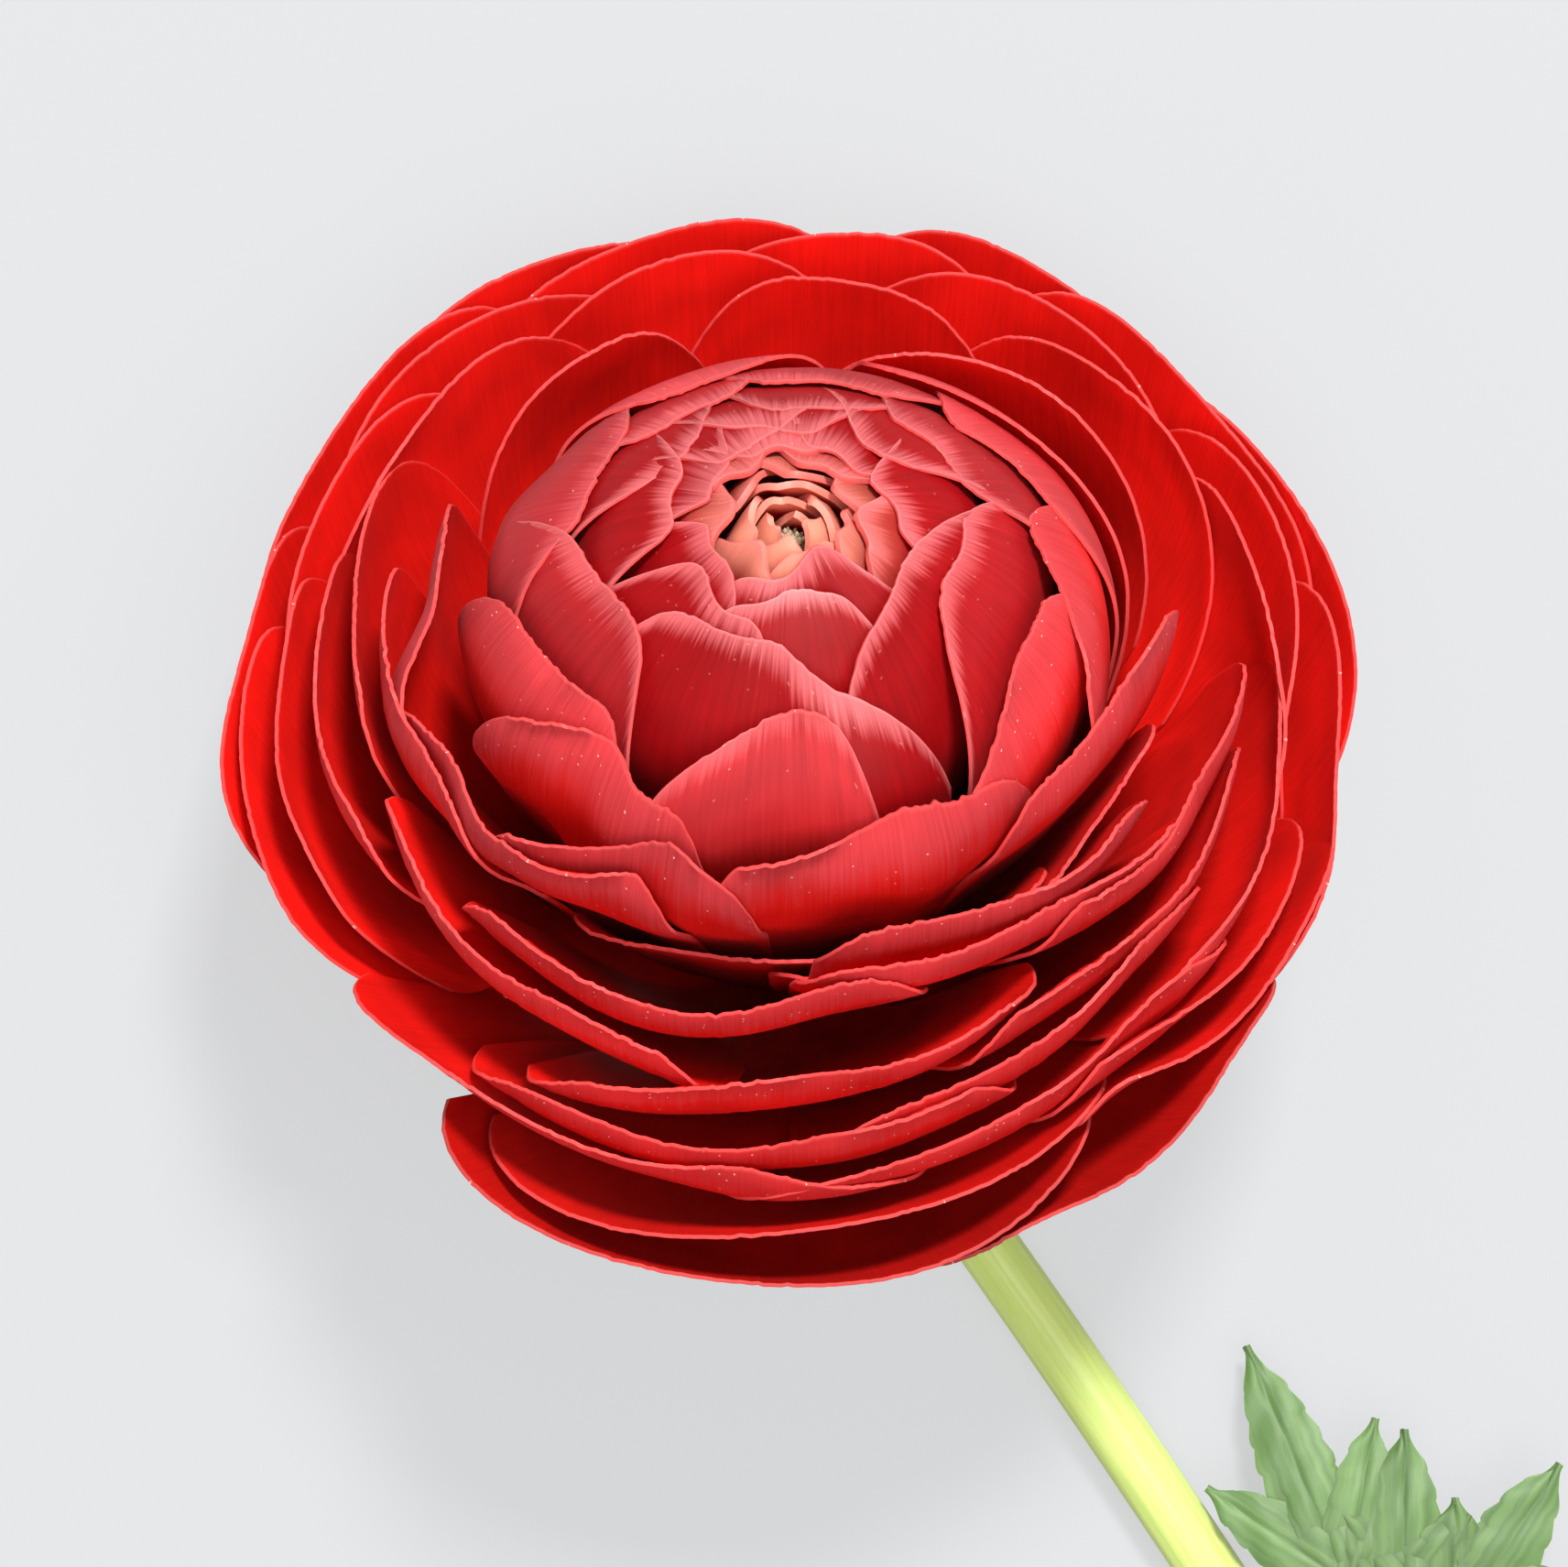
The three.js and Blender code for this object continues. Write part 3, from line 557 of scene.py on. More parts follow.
# %% The whorls
def make_whorl(name, group):
    columns, rows = {"petals_eye": EYE_GRID, "petals_bud": BUD_GRID}.get(name, PETAL_GRID)
    pattern = blank(columns, rows)
    copies = []
    for petal in group:
        copy = pattern.copy()
        copy.data = pattern.data.copy()
        bpy.context.scene.collection.objects.link(copy)
        shape_petal(copy, petal)
        copies.append(copy)
    bpy.data.objects.remove(pattern)
    whorl = join(name, copies)
    sheet_vertices = len(whorl.data.vertices)
    thicken(whorl, LIP_THICKNESS if name == "petals_eye" else PETAL_THICKNESS)
    face = np.empty(len(whorl.data.vertices) * 3, np.float32)
    layer = whorl.data.attributes["face"].data
    layer.foreach_get("vector", face)
    face[0 : 3 * sheet_vertices : 3] = 1
    layer.foreach_set("vector", face)
    return finish(whorl)


whorls = [make_whorl(name, group) for name, group in petals.items()]
print("petal faces:", {w.name: len(w.data.polygons) for w in whorls})

# %% [markdown]
# ## Round pieces along a path
#
# The stem, the leaf stalk, the receptacle and the heart are round in section and drawn out along a line.
# Each starts as a UV sphere: its rings are spread along the path, every ring with the radius that a profile
# gives it, and the two poles close the ends. So a hollow cut end is just a profile that turns inward. Every
# vertex remembers its length: how far along and round the piece it is, and whether it is on an end.

# %% Paths
PATH_STEP = 0.4


class Path:
    """A line through points, in mm, measured along its length."""

    def __init__(self, points):
        self.points = np.array(points, float)
        steps = np.linalg.norm(np.diff(self.points, axis=0), axis=1)
        self.at = np.concatenate([[0], np.cumsum(steps)])
        self.length = self.at[-1]

    def point(self, distance):
        return np.stack([np.interp(distance, self.at, axis) for axis in self.points.T], axis=-1)

    def sides(self, distance):
        """Two directions square to the path and to each other."""
        behind = np.clip(distance - PATH_STEP / 2, 0, self.length - PATH_STEP)
        ahead = self.point(behind + PATH_STEP) - self.point(behind)
        ahead /= np.linalg.norm(ahead, axis=-1, keepdims=True)
        side = np.cross(np.array([1.0, 0, 0]), ahead)
        side /= np.linalg.norm(side, axis=-1, keepdims=True)
        return side, np.cross(ahead, side)


def bezier(a, b, c, d, count=60):
    t = np.linspace(0, 1, count)[:, None]
    return (1 - t) ** 3 * a + 3 * (1 - t) ** 2 * t * b + 3 * (1 - t) * t**2 * c + t**3 * d


# %% Drawn-out spheres
def drawn_out(name, around, profile, path, relief=None):
    """A closed round piece. The profile is (distance along, radius) pairs, with radius 0 at both ends."""
    bpy.ops.object.select_all(action="DESELECT")
    bpy.ops.mesh.primitive_uv_sphere_add(segments=around, ring_count=len(profile) - 1, radius=1)
    piece = bpy.context.object
    piece.name = name
    ball = positions(piece)
    height = 1 - np.arccos(np.clip(ball[:, 2], -1, 1)) / math.pi
    ring = np.round(height * (len(profile) - 1)).astype(int)
    turn = np.arctan2(ball[:, 1], ball[:, 0])
    distance, radius = np.array(profile, float)[ring].T
    if relief:
        radius = radius * (1 + relief(distance, turn))
    side, other = path.sides(distance)
    out = np.cos(turn)[:, None] * side + np.sin(turn)[:, None] * other
    place(piece, path.point(distance) + radius[:, None] * out)
    on_end = (ring < 2) | (ring > len(profile) - 4)
    paint(piece, "length", np.stack([distance, turn, on_end], axis=-1))
    return piece


# %% [markdown]
# ## The receptacle and the heart
#
# All petals grow from the receptacle, a fleshy cone at the top of the stem. Its tip carries the heart: a
# small dome packed with carpels, flecked dark and pale, set in a spiral like the seeds of a sunflower. Deep
# in the eye only the tips of a few carpels show.

# %% Receptacle
# distance along and radius: a broad foot that narrows to a stalk under the heart
RECEPTACLE = [(0, 0), (0, 5.4), (0.5, 6.0), (1.6, 6.0), (3.6, 4.9), (7, 2.9), (9, 2.1), (14, 1.5),
              (30, 1.3), (38, 1.3), (38.3, 0)]
axis_line = Path([lay_down(np.array([0, 0, height])) for height in (0.0, 60.0)])
receptacle = finish(drawn_out("receptacle", 40, RECEPTACLE, axis_line))
print("receptacle:", len(receptacle.data.polygons), "faces")

# %% Heart
HEART_RADIUS = 1.7
HEART_RISE = 3.8
HEART_AT = 38.5
DOME_POWER = 0.7  # under 1 for a dome with steep sides
CARPEL_SINK = 0.35  # how far a carpel's root lies inside the dome
BODY_RADIUS, BODY_RISE = HEART_RADIUS - 0.3, HEART_RISE - 0.4
CARPELS = 90
CARPEL_LENGTH = 0.55
CARPEL_LEAN = 0.05
CARPEL_SHAPE = [(0, 0), (0.05, 0.13), (0.2, 0.19), (0.36, 0.13), (0.48, 0.06), (CARPEL_LENGTH, 0)]


def dome(climb, turn, proud=0.0):
    """A point on the heart's dome, climb going from 0 at its foot to 1 at its top."""
    angle = climb * math.pi / 2
    r = HEART_RADIUS * math.cos(angle) ** DOME_POWER - CARPEL_SINK
    z = HEART_AT + (HEART_RISE - CARPEL_SINK) * math.sin(angle)
    away = np.array([math.cos(turn) * math.cos(angle), math.sin(turn) * math.cos(angle), math.sin(angle)])
    return lay_down(np.array([r * math.cos(turn), r * math.sin(turn), z]) + proud * away)


def make_heart():
    angles = np.linspace(0, 1, 12) * math.pi / 2
    rings = [(HEART_AT + BODY_RISE * math.sin(a), BODY_RADIUS * math.cos(a) ** DOME_POWER) for a in angles]
    body = drawn_out("heart_body", 24, [(HEART_AT, 0)] + rings[:-1] + [(rings[-1][0], 0)], axis_line)
    carpels = []
    for k in range(CARPELS):
        turn = k * math.radians(GOLDEN_ANGLE)
        climb = 1 - math.sqrt(1 - (k + 0.5) / CARPELS) if k else 0.02
        tip = dome(min(1, climb + CARPEL_LEAN), turn, CARPEL_LENGTH)
        carpels.append(drawn_out("carpel", 8, CARPEL_SHAPE, Path([dome(climb, turn), tip])))
    return finish(join("heart_of_carpels", [body] + carpels))


heart = make_heart()
print("heart:", len(heart.data.polygons), "faces")

# %% [markdown]
# ## The calyx
#
# Behind the bloom, five narrow green sepals spread from a small disc at the top of the stem and droop back.
# They are blanks like the petals, shaped by one formula, with a raised midrib.

# %% Sepals
SEPAL_COUNT = 5
SEPAL_ROOT, SEPAL_REACH = 1.7, 11.0
SEPAL_HALF_WIDTH = 3.2
SEPAL_DROOP = 2.6
SEPAL_CUP = 0.4  # how much its edges rise
SEPAL_THICKNESS = 0.4
MIDRIB_HEIGHT, MIDRIB_WIDTH = 0.12, 0.1
CALYX_RADIUS = 3.4


def make_sepal(turn):
    sheet = blank(24, 30)
    u, s = positions(sheet)[:, 0], (positions(sheet)[:, 1] + 1) / 2
    narrowing = mix(0.5, 1, np.sin(math.pi * np.minimum(s, 0.93)) ** 0.7)
    across = SEPAL_HALF_WIDTH * u * narrowing * (1 + 0.03 * np.sin(20 * s + turn))
    out = mix(SEPAL_ROOT, SEPAL_REACH, s * (1 - 0.12 * u**2))
    rib = MIDRIB_HEIGHT * np.exp(-((u / MIDRIB_WIDTH) ** 2)) * (1 - s)
    z = -FIT_GAP - CALYX_THICKNESS / 2 - SEPAL_DROOP * s**1.5 + SEPAL_CUP * u**2 * s - rib
    x = out * math.cos(turn) - across * math.sin(turn)
    y = out * math.sin(turn) + across * math.cos(turn)
    place(sheet, lay_down(np.stack([x, y, z], axis=-1)))
    paint(sheet, "length", np.stack([out, across, 0 * u], axis=-1))
    return sheet


CALYX_DISC = [(0, 0), (0, 2.4), (0.1, 2.7), (0.7, 3.3), (0.95, CALYX_RADIUS), (1.1, 3.3), (1.1, 0)]
calyx_line = Path([lay_down(np.array([0, 0, z])) for z in (-FIT_GAP - CALYX_THICKNESS, -FIT_GAP)])
blades = [make_sepal(math.radians(-90 + 360 / SEPAL_COUNT * k)) for k in range(SEPAL_COUNT)]
calyx = join("sepal_blades", blades)
thicken(calyx, SEPAL_THICKNESS)
calyx = finish(join("calyx", [calyx, drawn_out("calyx_disc", 36, CALYX_DISC, calyx_line)]))
print("calyx:", len(calyx.data.polygons), "faces")

# %% [markdown]
# ## The stem
#
# The stem leaves the bloom along its axis, bends down to the surface, and then lies in one long curve to
# the cut end. It is juicy and soft, with shallow ribs along it that wind slowly round, and at the cut its
# wall stands proud of a shallow hollow.

# %% Stem
STEM_FACETS = 48
STEM_RIBS = 11
RIB_DEPTH = 0.018  # as a share of the radius
MEAN_RIB = 0.64  # of |sin|, so that the ribs don't make the stem thicker
RIB_SINK = 0.012
NECK = 5.5  # how far the bend holds its direction at each end
SWING = 36.0  # and the lying stretch
LANDING = np.array([6.0, -12.0, 0])
LANDING_WAY = np.array([0.6, -0.8, 0])
CUT_END = np.array([76.0, -124.0, 0])
CUT_WAY = np.array([0.45, -0.89, 0]) / math.hypot(0.45, 0.89)
STEM_WALL = 0.75
CUT_DEPTH = 1.3


def on_surface(point):
    """Where a thing as thick as the stem lies, from its place in plan, measured from the bloom's foot."""
    return point + np.array([FOOT[0], FOOT[1], STEM_RADIUS])


landing, cut_end = on_surface(LANDING), on_surface(CUT_END)
bend = bezier(lay_down(np.array([0, 0, STEM_START + 0.5])), lay_down(np.array([0, 0, STEM_START - NECK])),
              landing - NECK * LANDING_WAY, landing)
stretch = bezier(landing, landing + SWING * LANDING_WAY, cut_end - SWING * CUT_WAY, cut_end, 160)
stem_line = Path(np.concatenate([bend, stretch[1:]]))


def ribs(distance, turn):
    slow = 0.35 * np.sin(distance * 0.06)
    return RIB_DEPTH * (np.abs(np.sin(STEM_RIBS / 2 * (turn + slow))) - MEAN_RIB) - RIB_SINK


def stem_profile():
    end, bore = stem_line.length, STEM_RADIUS - STEM_WALL
    tube = [(d, STEM_RADIUS) for d in np.linspace(0.3, end - 0.12, 230)]
    cut = [(end, STEM_RADIUS - 0.1), (end, bore), (end - CUT_DEPTH + 0.3, bore - 0.2), (end - CUT_DEPTH, 0)]
    return [(0, 0), (0, STEM_RADIUS - 0.2)] + tube + cut


stem = finish(drawn_out("stem_tube", STEM_FACETS, stem_profile(), stem_line, ribs))
print("stem:", round(stem_line.length, 1), "mm long")

# %% [markdown]
# ## The leaf
#
# One divided leaf grows halfway down the stem. Its stalk forks into three leaflets, and each leaflet is cut
# into three pointed lobes with toothed edges. The blades arch up from the surface between stalk and tip.

# %% Leaf
LEAF_SIDE_TURN = -9.5  # from the stem's way to the stalk's
STALK_RADIUS = 1.1
STALK_LENGTH = 12.0
LEAF_RISE, LEAF_ARCH, LEAF_REACH = 1.3, 4.5, 42.0
LEAFLETS = [(26.5, 0), (19.0, -24), (20.0, -56)]  # length, and turn from the stalk's way
HUB_AT = 0.36  # where a leaflet parts into its lobes, as a share of its length
HUB_WIDTH, HUB_OVERLAP = 2.0, 0.8
MIDDLE_LOBE = (0.64, 5.4)  # length as a share of the leaflet's, and width
SIDE_LOBE = (0.42, 4.6, 34)  # and the turn from the middle lobe
LEAF_THICKNESS = 0.35
TOOTH_SPACING = 1.9
TOOTH_DEPTH = 0.16
TIP_FROM, TIP_SHARPNESS = 0.8, 0.8
MIDVEIN_DEPTH, MIDVEIN_WIDTH = 0.12, 0.25


def turned(way, degrees):
    cos, sin = math.cos(math.radians(degrees)), math.sin(math.radians(degrees))
    return np.array([way[0] * cos - way[1] * sin, way[0] * sin + way[1] * cos, 0])


stretch_line = Path(stretch)
halfway = stretch_line.length / 2
leaf_node = stretch_line.point(halfway)
up_stem = stretch_line.point(halfway - 0.5) - stretch_line.point(halfway + 0.5)
up_stem /= np.linalg.norm(up_stem)
beside = np.array([up_stem[1], -up_stem[0], 0])
leaf_start = leaf_node + beside * (STEM_RADIUS + FIT_GAP + STALK_RADIUS)
leaf_way = turned(up_stem, LEAF_SIDE_TURN)
fork = leaf_start + STALK_LENGTH * leaf_way


def arch(points):
    """The height of the leaf over the surface at points in plan."""
    away = np.linalg.norm(points[..., :2] - leaf_start[:2], axis=-1)
    return LEAF_RISE + LEAF_ARCH * np.sin(math.pi * np.clip(away / LEAF_REACH, 0, 1))


# %% A lobe
def make_lobe(start, end, width, number):
    """One lobe, a sheet between two points in plan, with teeth along both edges."""
    sheet = blank(28, 64)
    u, s = positions(sheet)[:, 0], (positions(sheet)[:, 1] + 1) / 2
    length = np.linalg.norm(end - start)
    along = (end - start) / length
    half = width / 2 * (0.22 + 0.78 * np.sin(math.pi * np.minimum(s, 0.96) ** 0.8))
    tooth = np.abs((s * length / TOOTH_SPACING + 0.5 * (u > 0)) % 1 - 0.3)
    pointed = 1 - TIP_SHARPNESS * between(s, TIP_FROM, 1)
    toothed = half * pointed * (1 - TOOTH_DEPTH * tooth * (width > HUB_WIDTH) * smooth((0.97 - s) * 8))
    rib = start + s[:, None] * (end - start)
    point = rib + (toothed * u)[:, None] * np.array([-along[1], along[0], 0])
    midvein = MIDVEIN_DEPTH * np.exp(-((u * half / MIDVEIN_WIDTH) ** 2))
    point[:, 2] = arch(rib) - 0.12 * half * u**2 - midvein + 0.1 * np.sin(s * length * 1.3 + 3 * u)
    place(sheet, point)
    paint(sheet, "length", np.stack([s * length, u * half, 0 * u + number], axis=-1))
    return sheet


# %% The leaf put together
def make_leaf():
    lobes = []
    for length, turn in LEAFLETS:
        along = turned(leaf_way, turn)
        hub = fork + HUB_AT * length * along
        lobes.append(make_lobe(fork - HUB_OVERLAP * along, hub, HUB_WIDTH, len(lobes)))
        lobes.append(make_lobe(hub, hub + MIDDLE_LOBE[0] * length * along, MIDDLE_LOBE[1], len(lobes)))
        for side in (-1, 1):
            tip = hub + SIDE_LOBE[0] * length * turned(along, side * SIDE_LOBE[2])
            lobes.append(make_lobe(hub, tip, SIDE_LOBE[1], len(lobes)))
    blades = join("leaf_blades", lobes)
    thicken(blades, LEAF_THICKNESS)
    crown = np.array([0, 0, arch(fork)])
    level = np.array([1, 1, 0])
    first = leaf_node + beside * (STEM_RADIUS - 0.2)
    under_fork = (leaf_start + 6 * leaf_way) * level + crown
    stalk_line = Path(bezier(first, leaf_start + 2 * leaf_way, under_fork, fork * level + crown))
    end = stalk_line.length
    swollen_foot = [(0, 0), (0, 1.5), (1, 1.45), (2.2, 1.2)]
    slender = [(d, STALK_RADIUS - 0.1 * d / end) for d in np.linspace(3, end, 30)]
    stalk = drawn_out("leaf_stalk", 24, swollen_foot + slender + [(end + 0.01, 0)], stalk_line)
    return finish(join("divided_leaf", [blades, stalk]))


leaf = make_leaf()
print("leaf:", len(leaf.data.polygons), "faces")

# %% [markdown]
# ## Materials
#
# Colours are written as they look on a screen, and one function turns them to the linear values that the
# shader works in. One more function adds a node with its settings and links.

# %% Colour and node helpers
def linear(hex_colour):
    """An sRGB hex colour as linear red, green, blue and alpha."""
    parts = [int(hex_colour[i : i + 2], 16) / 255 for i in (1, 3, 5)]
    return tuple(c / 12.92 if c <= 0.04045 else ((c + 0.055) / 1.055) ** 2.4 for c in parts) + (1.0,)


def new_material(name):
    material = bpy.data.materials.new(name)
    material.use_nodes = True
    material.node_tree.nodes.clear()
    return material


def add(material, kind, settings=None, **inputs):
    """Adds a node. An input is given by name, or by place as _0, and its value is a constant, an output of
    another node, or that node itself, which stands for the first of its outputs in use."""
    node = material.node_tree.nodes.new("ShaderNode" + kind)
    for key, value in (settings or {}).items():
        setattr(node, key, value)
    for key, value in inputs.items():
        name = key.replace("_", " ")
        found = [s for s in node.inputs if s.name == name and s.enabled] or [node.inputs[int(key[1:])]]
        if isinstance(value, bpy.types.Node):
            value = next(s for s in value.outputs if s.enabled)
        if isinstance(value, bpy.types.NodeSocket):
            material.node_tree.links.new(value, found[0])
        else:
            found[0].default_value = value
    return node


TIMES = {"operation": "MULTIPLY"}
TIMES_PLUS = {"operation": "MULTIPLY_ADD"}
SCALED = {"operation": "SCALE"}
SOFTLY = {"interpolation_type": "SMOOTHSTEP"}
COLOURS = {"data_type": "RGBA"}

# %% [markdown]
# ### Petals
#
# A living buttercup petal is a thin waxy sheet, and no two parts of it have the same colour. So its
# material is laid on in coats, as a painter of flowers would: first the patterns that the coats share, then
# the inside, the outside, the bud, the rim, and last the wax. Distances are in millimetres from the rim.
# The veins are about a sixth of a millimetre apart, and the clouds of colour about five wide. On a real
# petal the sparks are glints of single cells. Here each painted glint is an eighth of a millimetre wide, so
# it shows.

# %% Patterns that the coats share
STREAK_SPACING, STREAK_LENGTH = 0.17, 7.0
CLOUD_WIDTH, CLOUD_LENGTH = 6.25, 4.545
PATTERN_STEP = 40  # how far apart petals of different tone lie in the patterns

coats = new_material("living_petal")
blade = add(coats, "Attribute", {"attribute_name": "blade"}).outputs["Vector"]
face = add(coats, "Attribute", {"attribute_name": "face"}).outputs["Vector"]
depth, own_tone_and_painted_shade = add(coats, "SeparateXYZ", Vector=blade).outputs[1:]
outside, dust_reach, peachy = add(coats, "SeparateXYZ", Vector=face).outputs
streak_at = add(coats, "VectorMath", TIMES, _0=blade,
                _1=(1 / STREAK_SPACING, 1 / STREAK_LENGTH, PATTERN_STEP))
streaks = add(coats, "TexNoise", Vector=streak_at, Scale=1.0, Detail=2.0, Roughness=0.6)
cloud_at = add(coats, "VectorMath", TIMES, _0=blade,
               _1=(1 / CLOUD_WIDTH, 1 / CLOUD_LENGTH, PATTERN_STEP))
clouds = add(coats, "TexNoise", Vector=cloud_at, Scale=1.0, Detail=1.0)
print("patterns on the petals:", len(coats.node_tree.nodes), "nodes")

# %% [markdown]
# The inside is a clear, saturated red, darkened towards the foot by painted shade, with faint darker veins.

# %% The inside
INSIDE_RED = "#EC1A13"
# Painted shade: the inside darkens from 6 to 26 mm below the rim, where petals shade each other
INSIDE_PAINTED_SHADE = "#D40E0B"

painted_shade_toward_foot = add(coats, "MapRange", SOFTLY, Value=depth, From_Min=6.0, From_Max=26.0)
inside_plain = add(coats, "Mix", COLOURS, Factor=painted_shade_toward_foot, A=linear(INSIDE_RED), B=linear(INSIDE_PAINTED_SHADE))
veins = add(coats, "MapRange", Value=streaks, From_Min=0.3, From_Max=0.7, To_Min=0.9, To_Max=1.06)
inside_colour = add(coats, "VectorMath", SCALED, _0=inside_plain, Scale=veins)
print("inside:", INSIDE_RED, "to", INSIDE_PAINTED_SHADE)

# %% [markdown]
# The outside is duller. From the rim down it has a dusty pink bloom, like that on a grape. The veins comb
# its lower edge into streaks and the clouds make it ragged. Below it the petal is plain red, then darker with
# painted shade.

# %% How far down the dust reaches
OUTSIDE_RED = "#DE1813"
OUTSIDE_PAINTED_SHADE = "#A00806"

ragged = add(coats, "Math", TIMES_PLUS, _0=streaks, _1=-4.0, _2=depth)
softer = add(coats, "Math", TIMES_PLUS, _0=clouds, _1=-3.0, _2=ragged)
level = add(coats, "Math", {"operation": "ADD"}, _0=softer, _1=3.5)
share = add(coats, "Math", {"operation": "DIVIDE"}, _0=level, _1=dust_reach)
fullest = add(coats, "MapRange", Value=dust_reach, From_Min=OUTER_DUST, From_Max=FRONT_DUST,
              To_Min=0.5, To_Max=1.0)
dust = add(coats, "MapRange", SOFTLY, Value=share, From_Min=0.25, From_Max=1.0, To_Min=fullest,
           To_Max=0.0)
# Painted shade: below the dust the outside darkens over 8 mm towards where it tucks under its neighbour
below = add(coats, "MapRange", SOFTLY, Value=softer, From_Min=0.0, From_Max=8.0)
under_dust = add(coats, "Mix", COLOURS, Factor=below, A=linear(OUTSIDE_RED), B=linear(OUTSIDE_PAINTED_SHADE))

# %% [markdown]
# The young petals of the bud are not dusty but satiny: a pale band runs along the rim, combed by the veins,
# partly the petal's own paler pink and partly a painted highlight, and under it lies a dark wine red.

# %% The bud's satin with its painted highlight, and the dust's colour
BUD_RED = "#96080E"
# Pale pink along the bud's rims, partly the petal's own colour and partly a painted highlight
PALE_PINK_AND_PAINTED_HIGHLIGHT = "#C6595C"
DUSTY_PINK = "#CA3A3F"

young = add(coats, "MapRange", Value=dust_reach, From_Min=5.0, From_Max=22.0)
combed = add(coats, "Math", TIMES_PLUS, _0=streaks, _1=-2.2, _2=depth)
cloudy = add(coats, "Math", TIMES_PLUS, _0=clouds, _1=-1.6, _2=combed)
satin_and_painted_highlight_band = add(coats, "MapRange", SOFTLY, Value=cloudy, From_Min=-1.9, From_Max=-0.2, To_Min=1.0,
                 To_Max=0.0)
bud_colour = add(coats, "Mix", COLOURS, Factor=satin_and_painted_highlight_band, A=linear(BUD_RED), B=linear(PALE_PINK_AND_PAINTED_HIGHLIGHT))
dust_colour = add(coats, "Mix", COLOURS, Factor=young, A=linear(DUSTY_PINK), B=bud_colour)
lines = add(coats, "MapRange", Value=streaks, From_Min=0.3, From_Max=0.7, To_Min=0.88, To_Max=1.1)
lined = add(coats, "VectorMath", SCALED, _0=dust_colour, Scale=lines)

# %% Both faces, each petal with its own tone and the lowest front petals with painted shade
outside_colour = add(coats, "Mix", COLOURS, Factor=dust, A=under_dust, B=lined)
two_sided = add(coats, "Mix", COLOURS, Factor=outside, A=inside_colour, B=outside_colour)
cloud_tone = add(coats, "MapRange", Value=clouds, From_Min=0.3, From_Max=0.7, To_Min=0.84, To_Max=1.08)
# Each petal's random tone, with painted shade on the lowest front petals, times the clouds
tone = add(coats, "Math", TIMES, _0=cloud_tone, _1=own_tone_and_painted_shade)
toned = add(coats, "VectorMath", SCALED, _0=two_sided, Scale=tone)

# %% [markdown]
# Round the eye the petals have not yet turned red and are peach at the rim. On every petal the last fifth
# of a millimetre, where the sheet thins out, is pale.

# %% Peach eye and pale rim
EYE_PEACH = "#EC9A80"
PALE_RIM = "#E88884"
INSIDE_RIM = 0.8  # how strong the pale rim is on the inside

peach_band = add(coats, "MapRange", SOFTLY, Value=depth, From_Min=0.9, From_Max=3.2, To_Min=1.0,
                 To_Max=0.0)
peach_share = add(coats, "Math", TIMES, _0=peachy, _1=peach_band)
eyed = add(coats, "Mix", COLOURS, Factor=peach_share, A=toned, B=linear(EYE_PEACH))
rim = add(coats, "MapRange", SOFTLY, Value=depth, From_Min=0.0, From_Max=0.22, To_Min=0.3, To_Max=0.0)
outside_rim = add(coats, "MapRange", Value=young, To_Min=0.5, To_Max=1.3)
rim_strength = add(coats, "Mix", Factor=outside, A=INSIDE_RIM, B=outside_rim)
rim_share = add(coats, "Math", TIMES, _0=rim, _1=rim_strength)
rimmed = add(coats, "Mix", COLOURS, Factor=rim_share, A=eyed, B=linear(PALE_RIM))

# %% Painted glints on the dust
GRAIN_SPACING = 0.5
SPARK_RADIUS = 0.13  # as a share of the spacing
# Painted glints: sparse pale specks on the outside, near the rim
PAINTED_GLINT_PINK = "#F6C9C0"

grain_at = add(coats, "VectorMath", TIMES, _0=blade, _1=(1 / GRAIN_SPACING, 1 / GRAIN_SPACING, 30))
grains = add(coats, "TexVoronoi", Vector=grain_at, Scale=1.0, Randomness=1.0)
small = add(coats, "Math", {"operation": "LESS_THAN"}, _0=grains.outputs["Distance"], _1=SPARK_RADIUS)
grain_draw = add(coats, "SeparateColor", Color=grains.outputs["Color"])
rare = add(coats, "Math", {"operation": "GREATER_THAN"}, _0=grain_draw, _1=0.75)
spark = add(coats, "Math", TIMES, _0=small, _1=rare)
near_rim = add(coats, "MapRange", Value=depth, From_Min=0.0, From_Max=5.0, To_Min=0.75, To_Max=0.0)
spark_outside = add(coats, "Math", TIMES, _0=spark, _1=outside)
not_in_bud = add(coats, "MapRange", Value=young, To_Min=1.0, To_Max=0.25)
where = add(coats, "Math", TIMES, _0=near_rim, _1=not_in_bud)
spark_share = add(coats, "Math", TIMES, _0=spark_outside, _1=where)
sparked = add(coats, "Mix", COLOURS, Factor=spark_share, A=rimmed, B=linear(PAINTED_GLINT_PINK))

# %% [markdown]
# The wax gives a soft shine, strongest on the satin of the bud, and the dust a trace of velvet. The veins
# stand out by a few hundredths of a millimetre. Over a third of the light goes through the sheet, so that
# petals glow where the light is behind them.

# %% Wax, velvet and glow
PETAL_ROUGHNESS = 0.46
PETAL_IOR = 1.42
VELVET_PINK = "#F4A0A4"
VEIN_HEIGHT = 0.06 * MM
LIGHT_THROUGH = 0.36

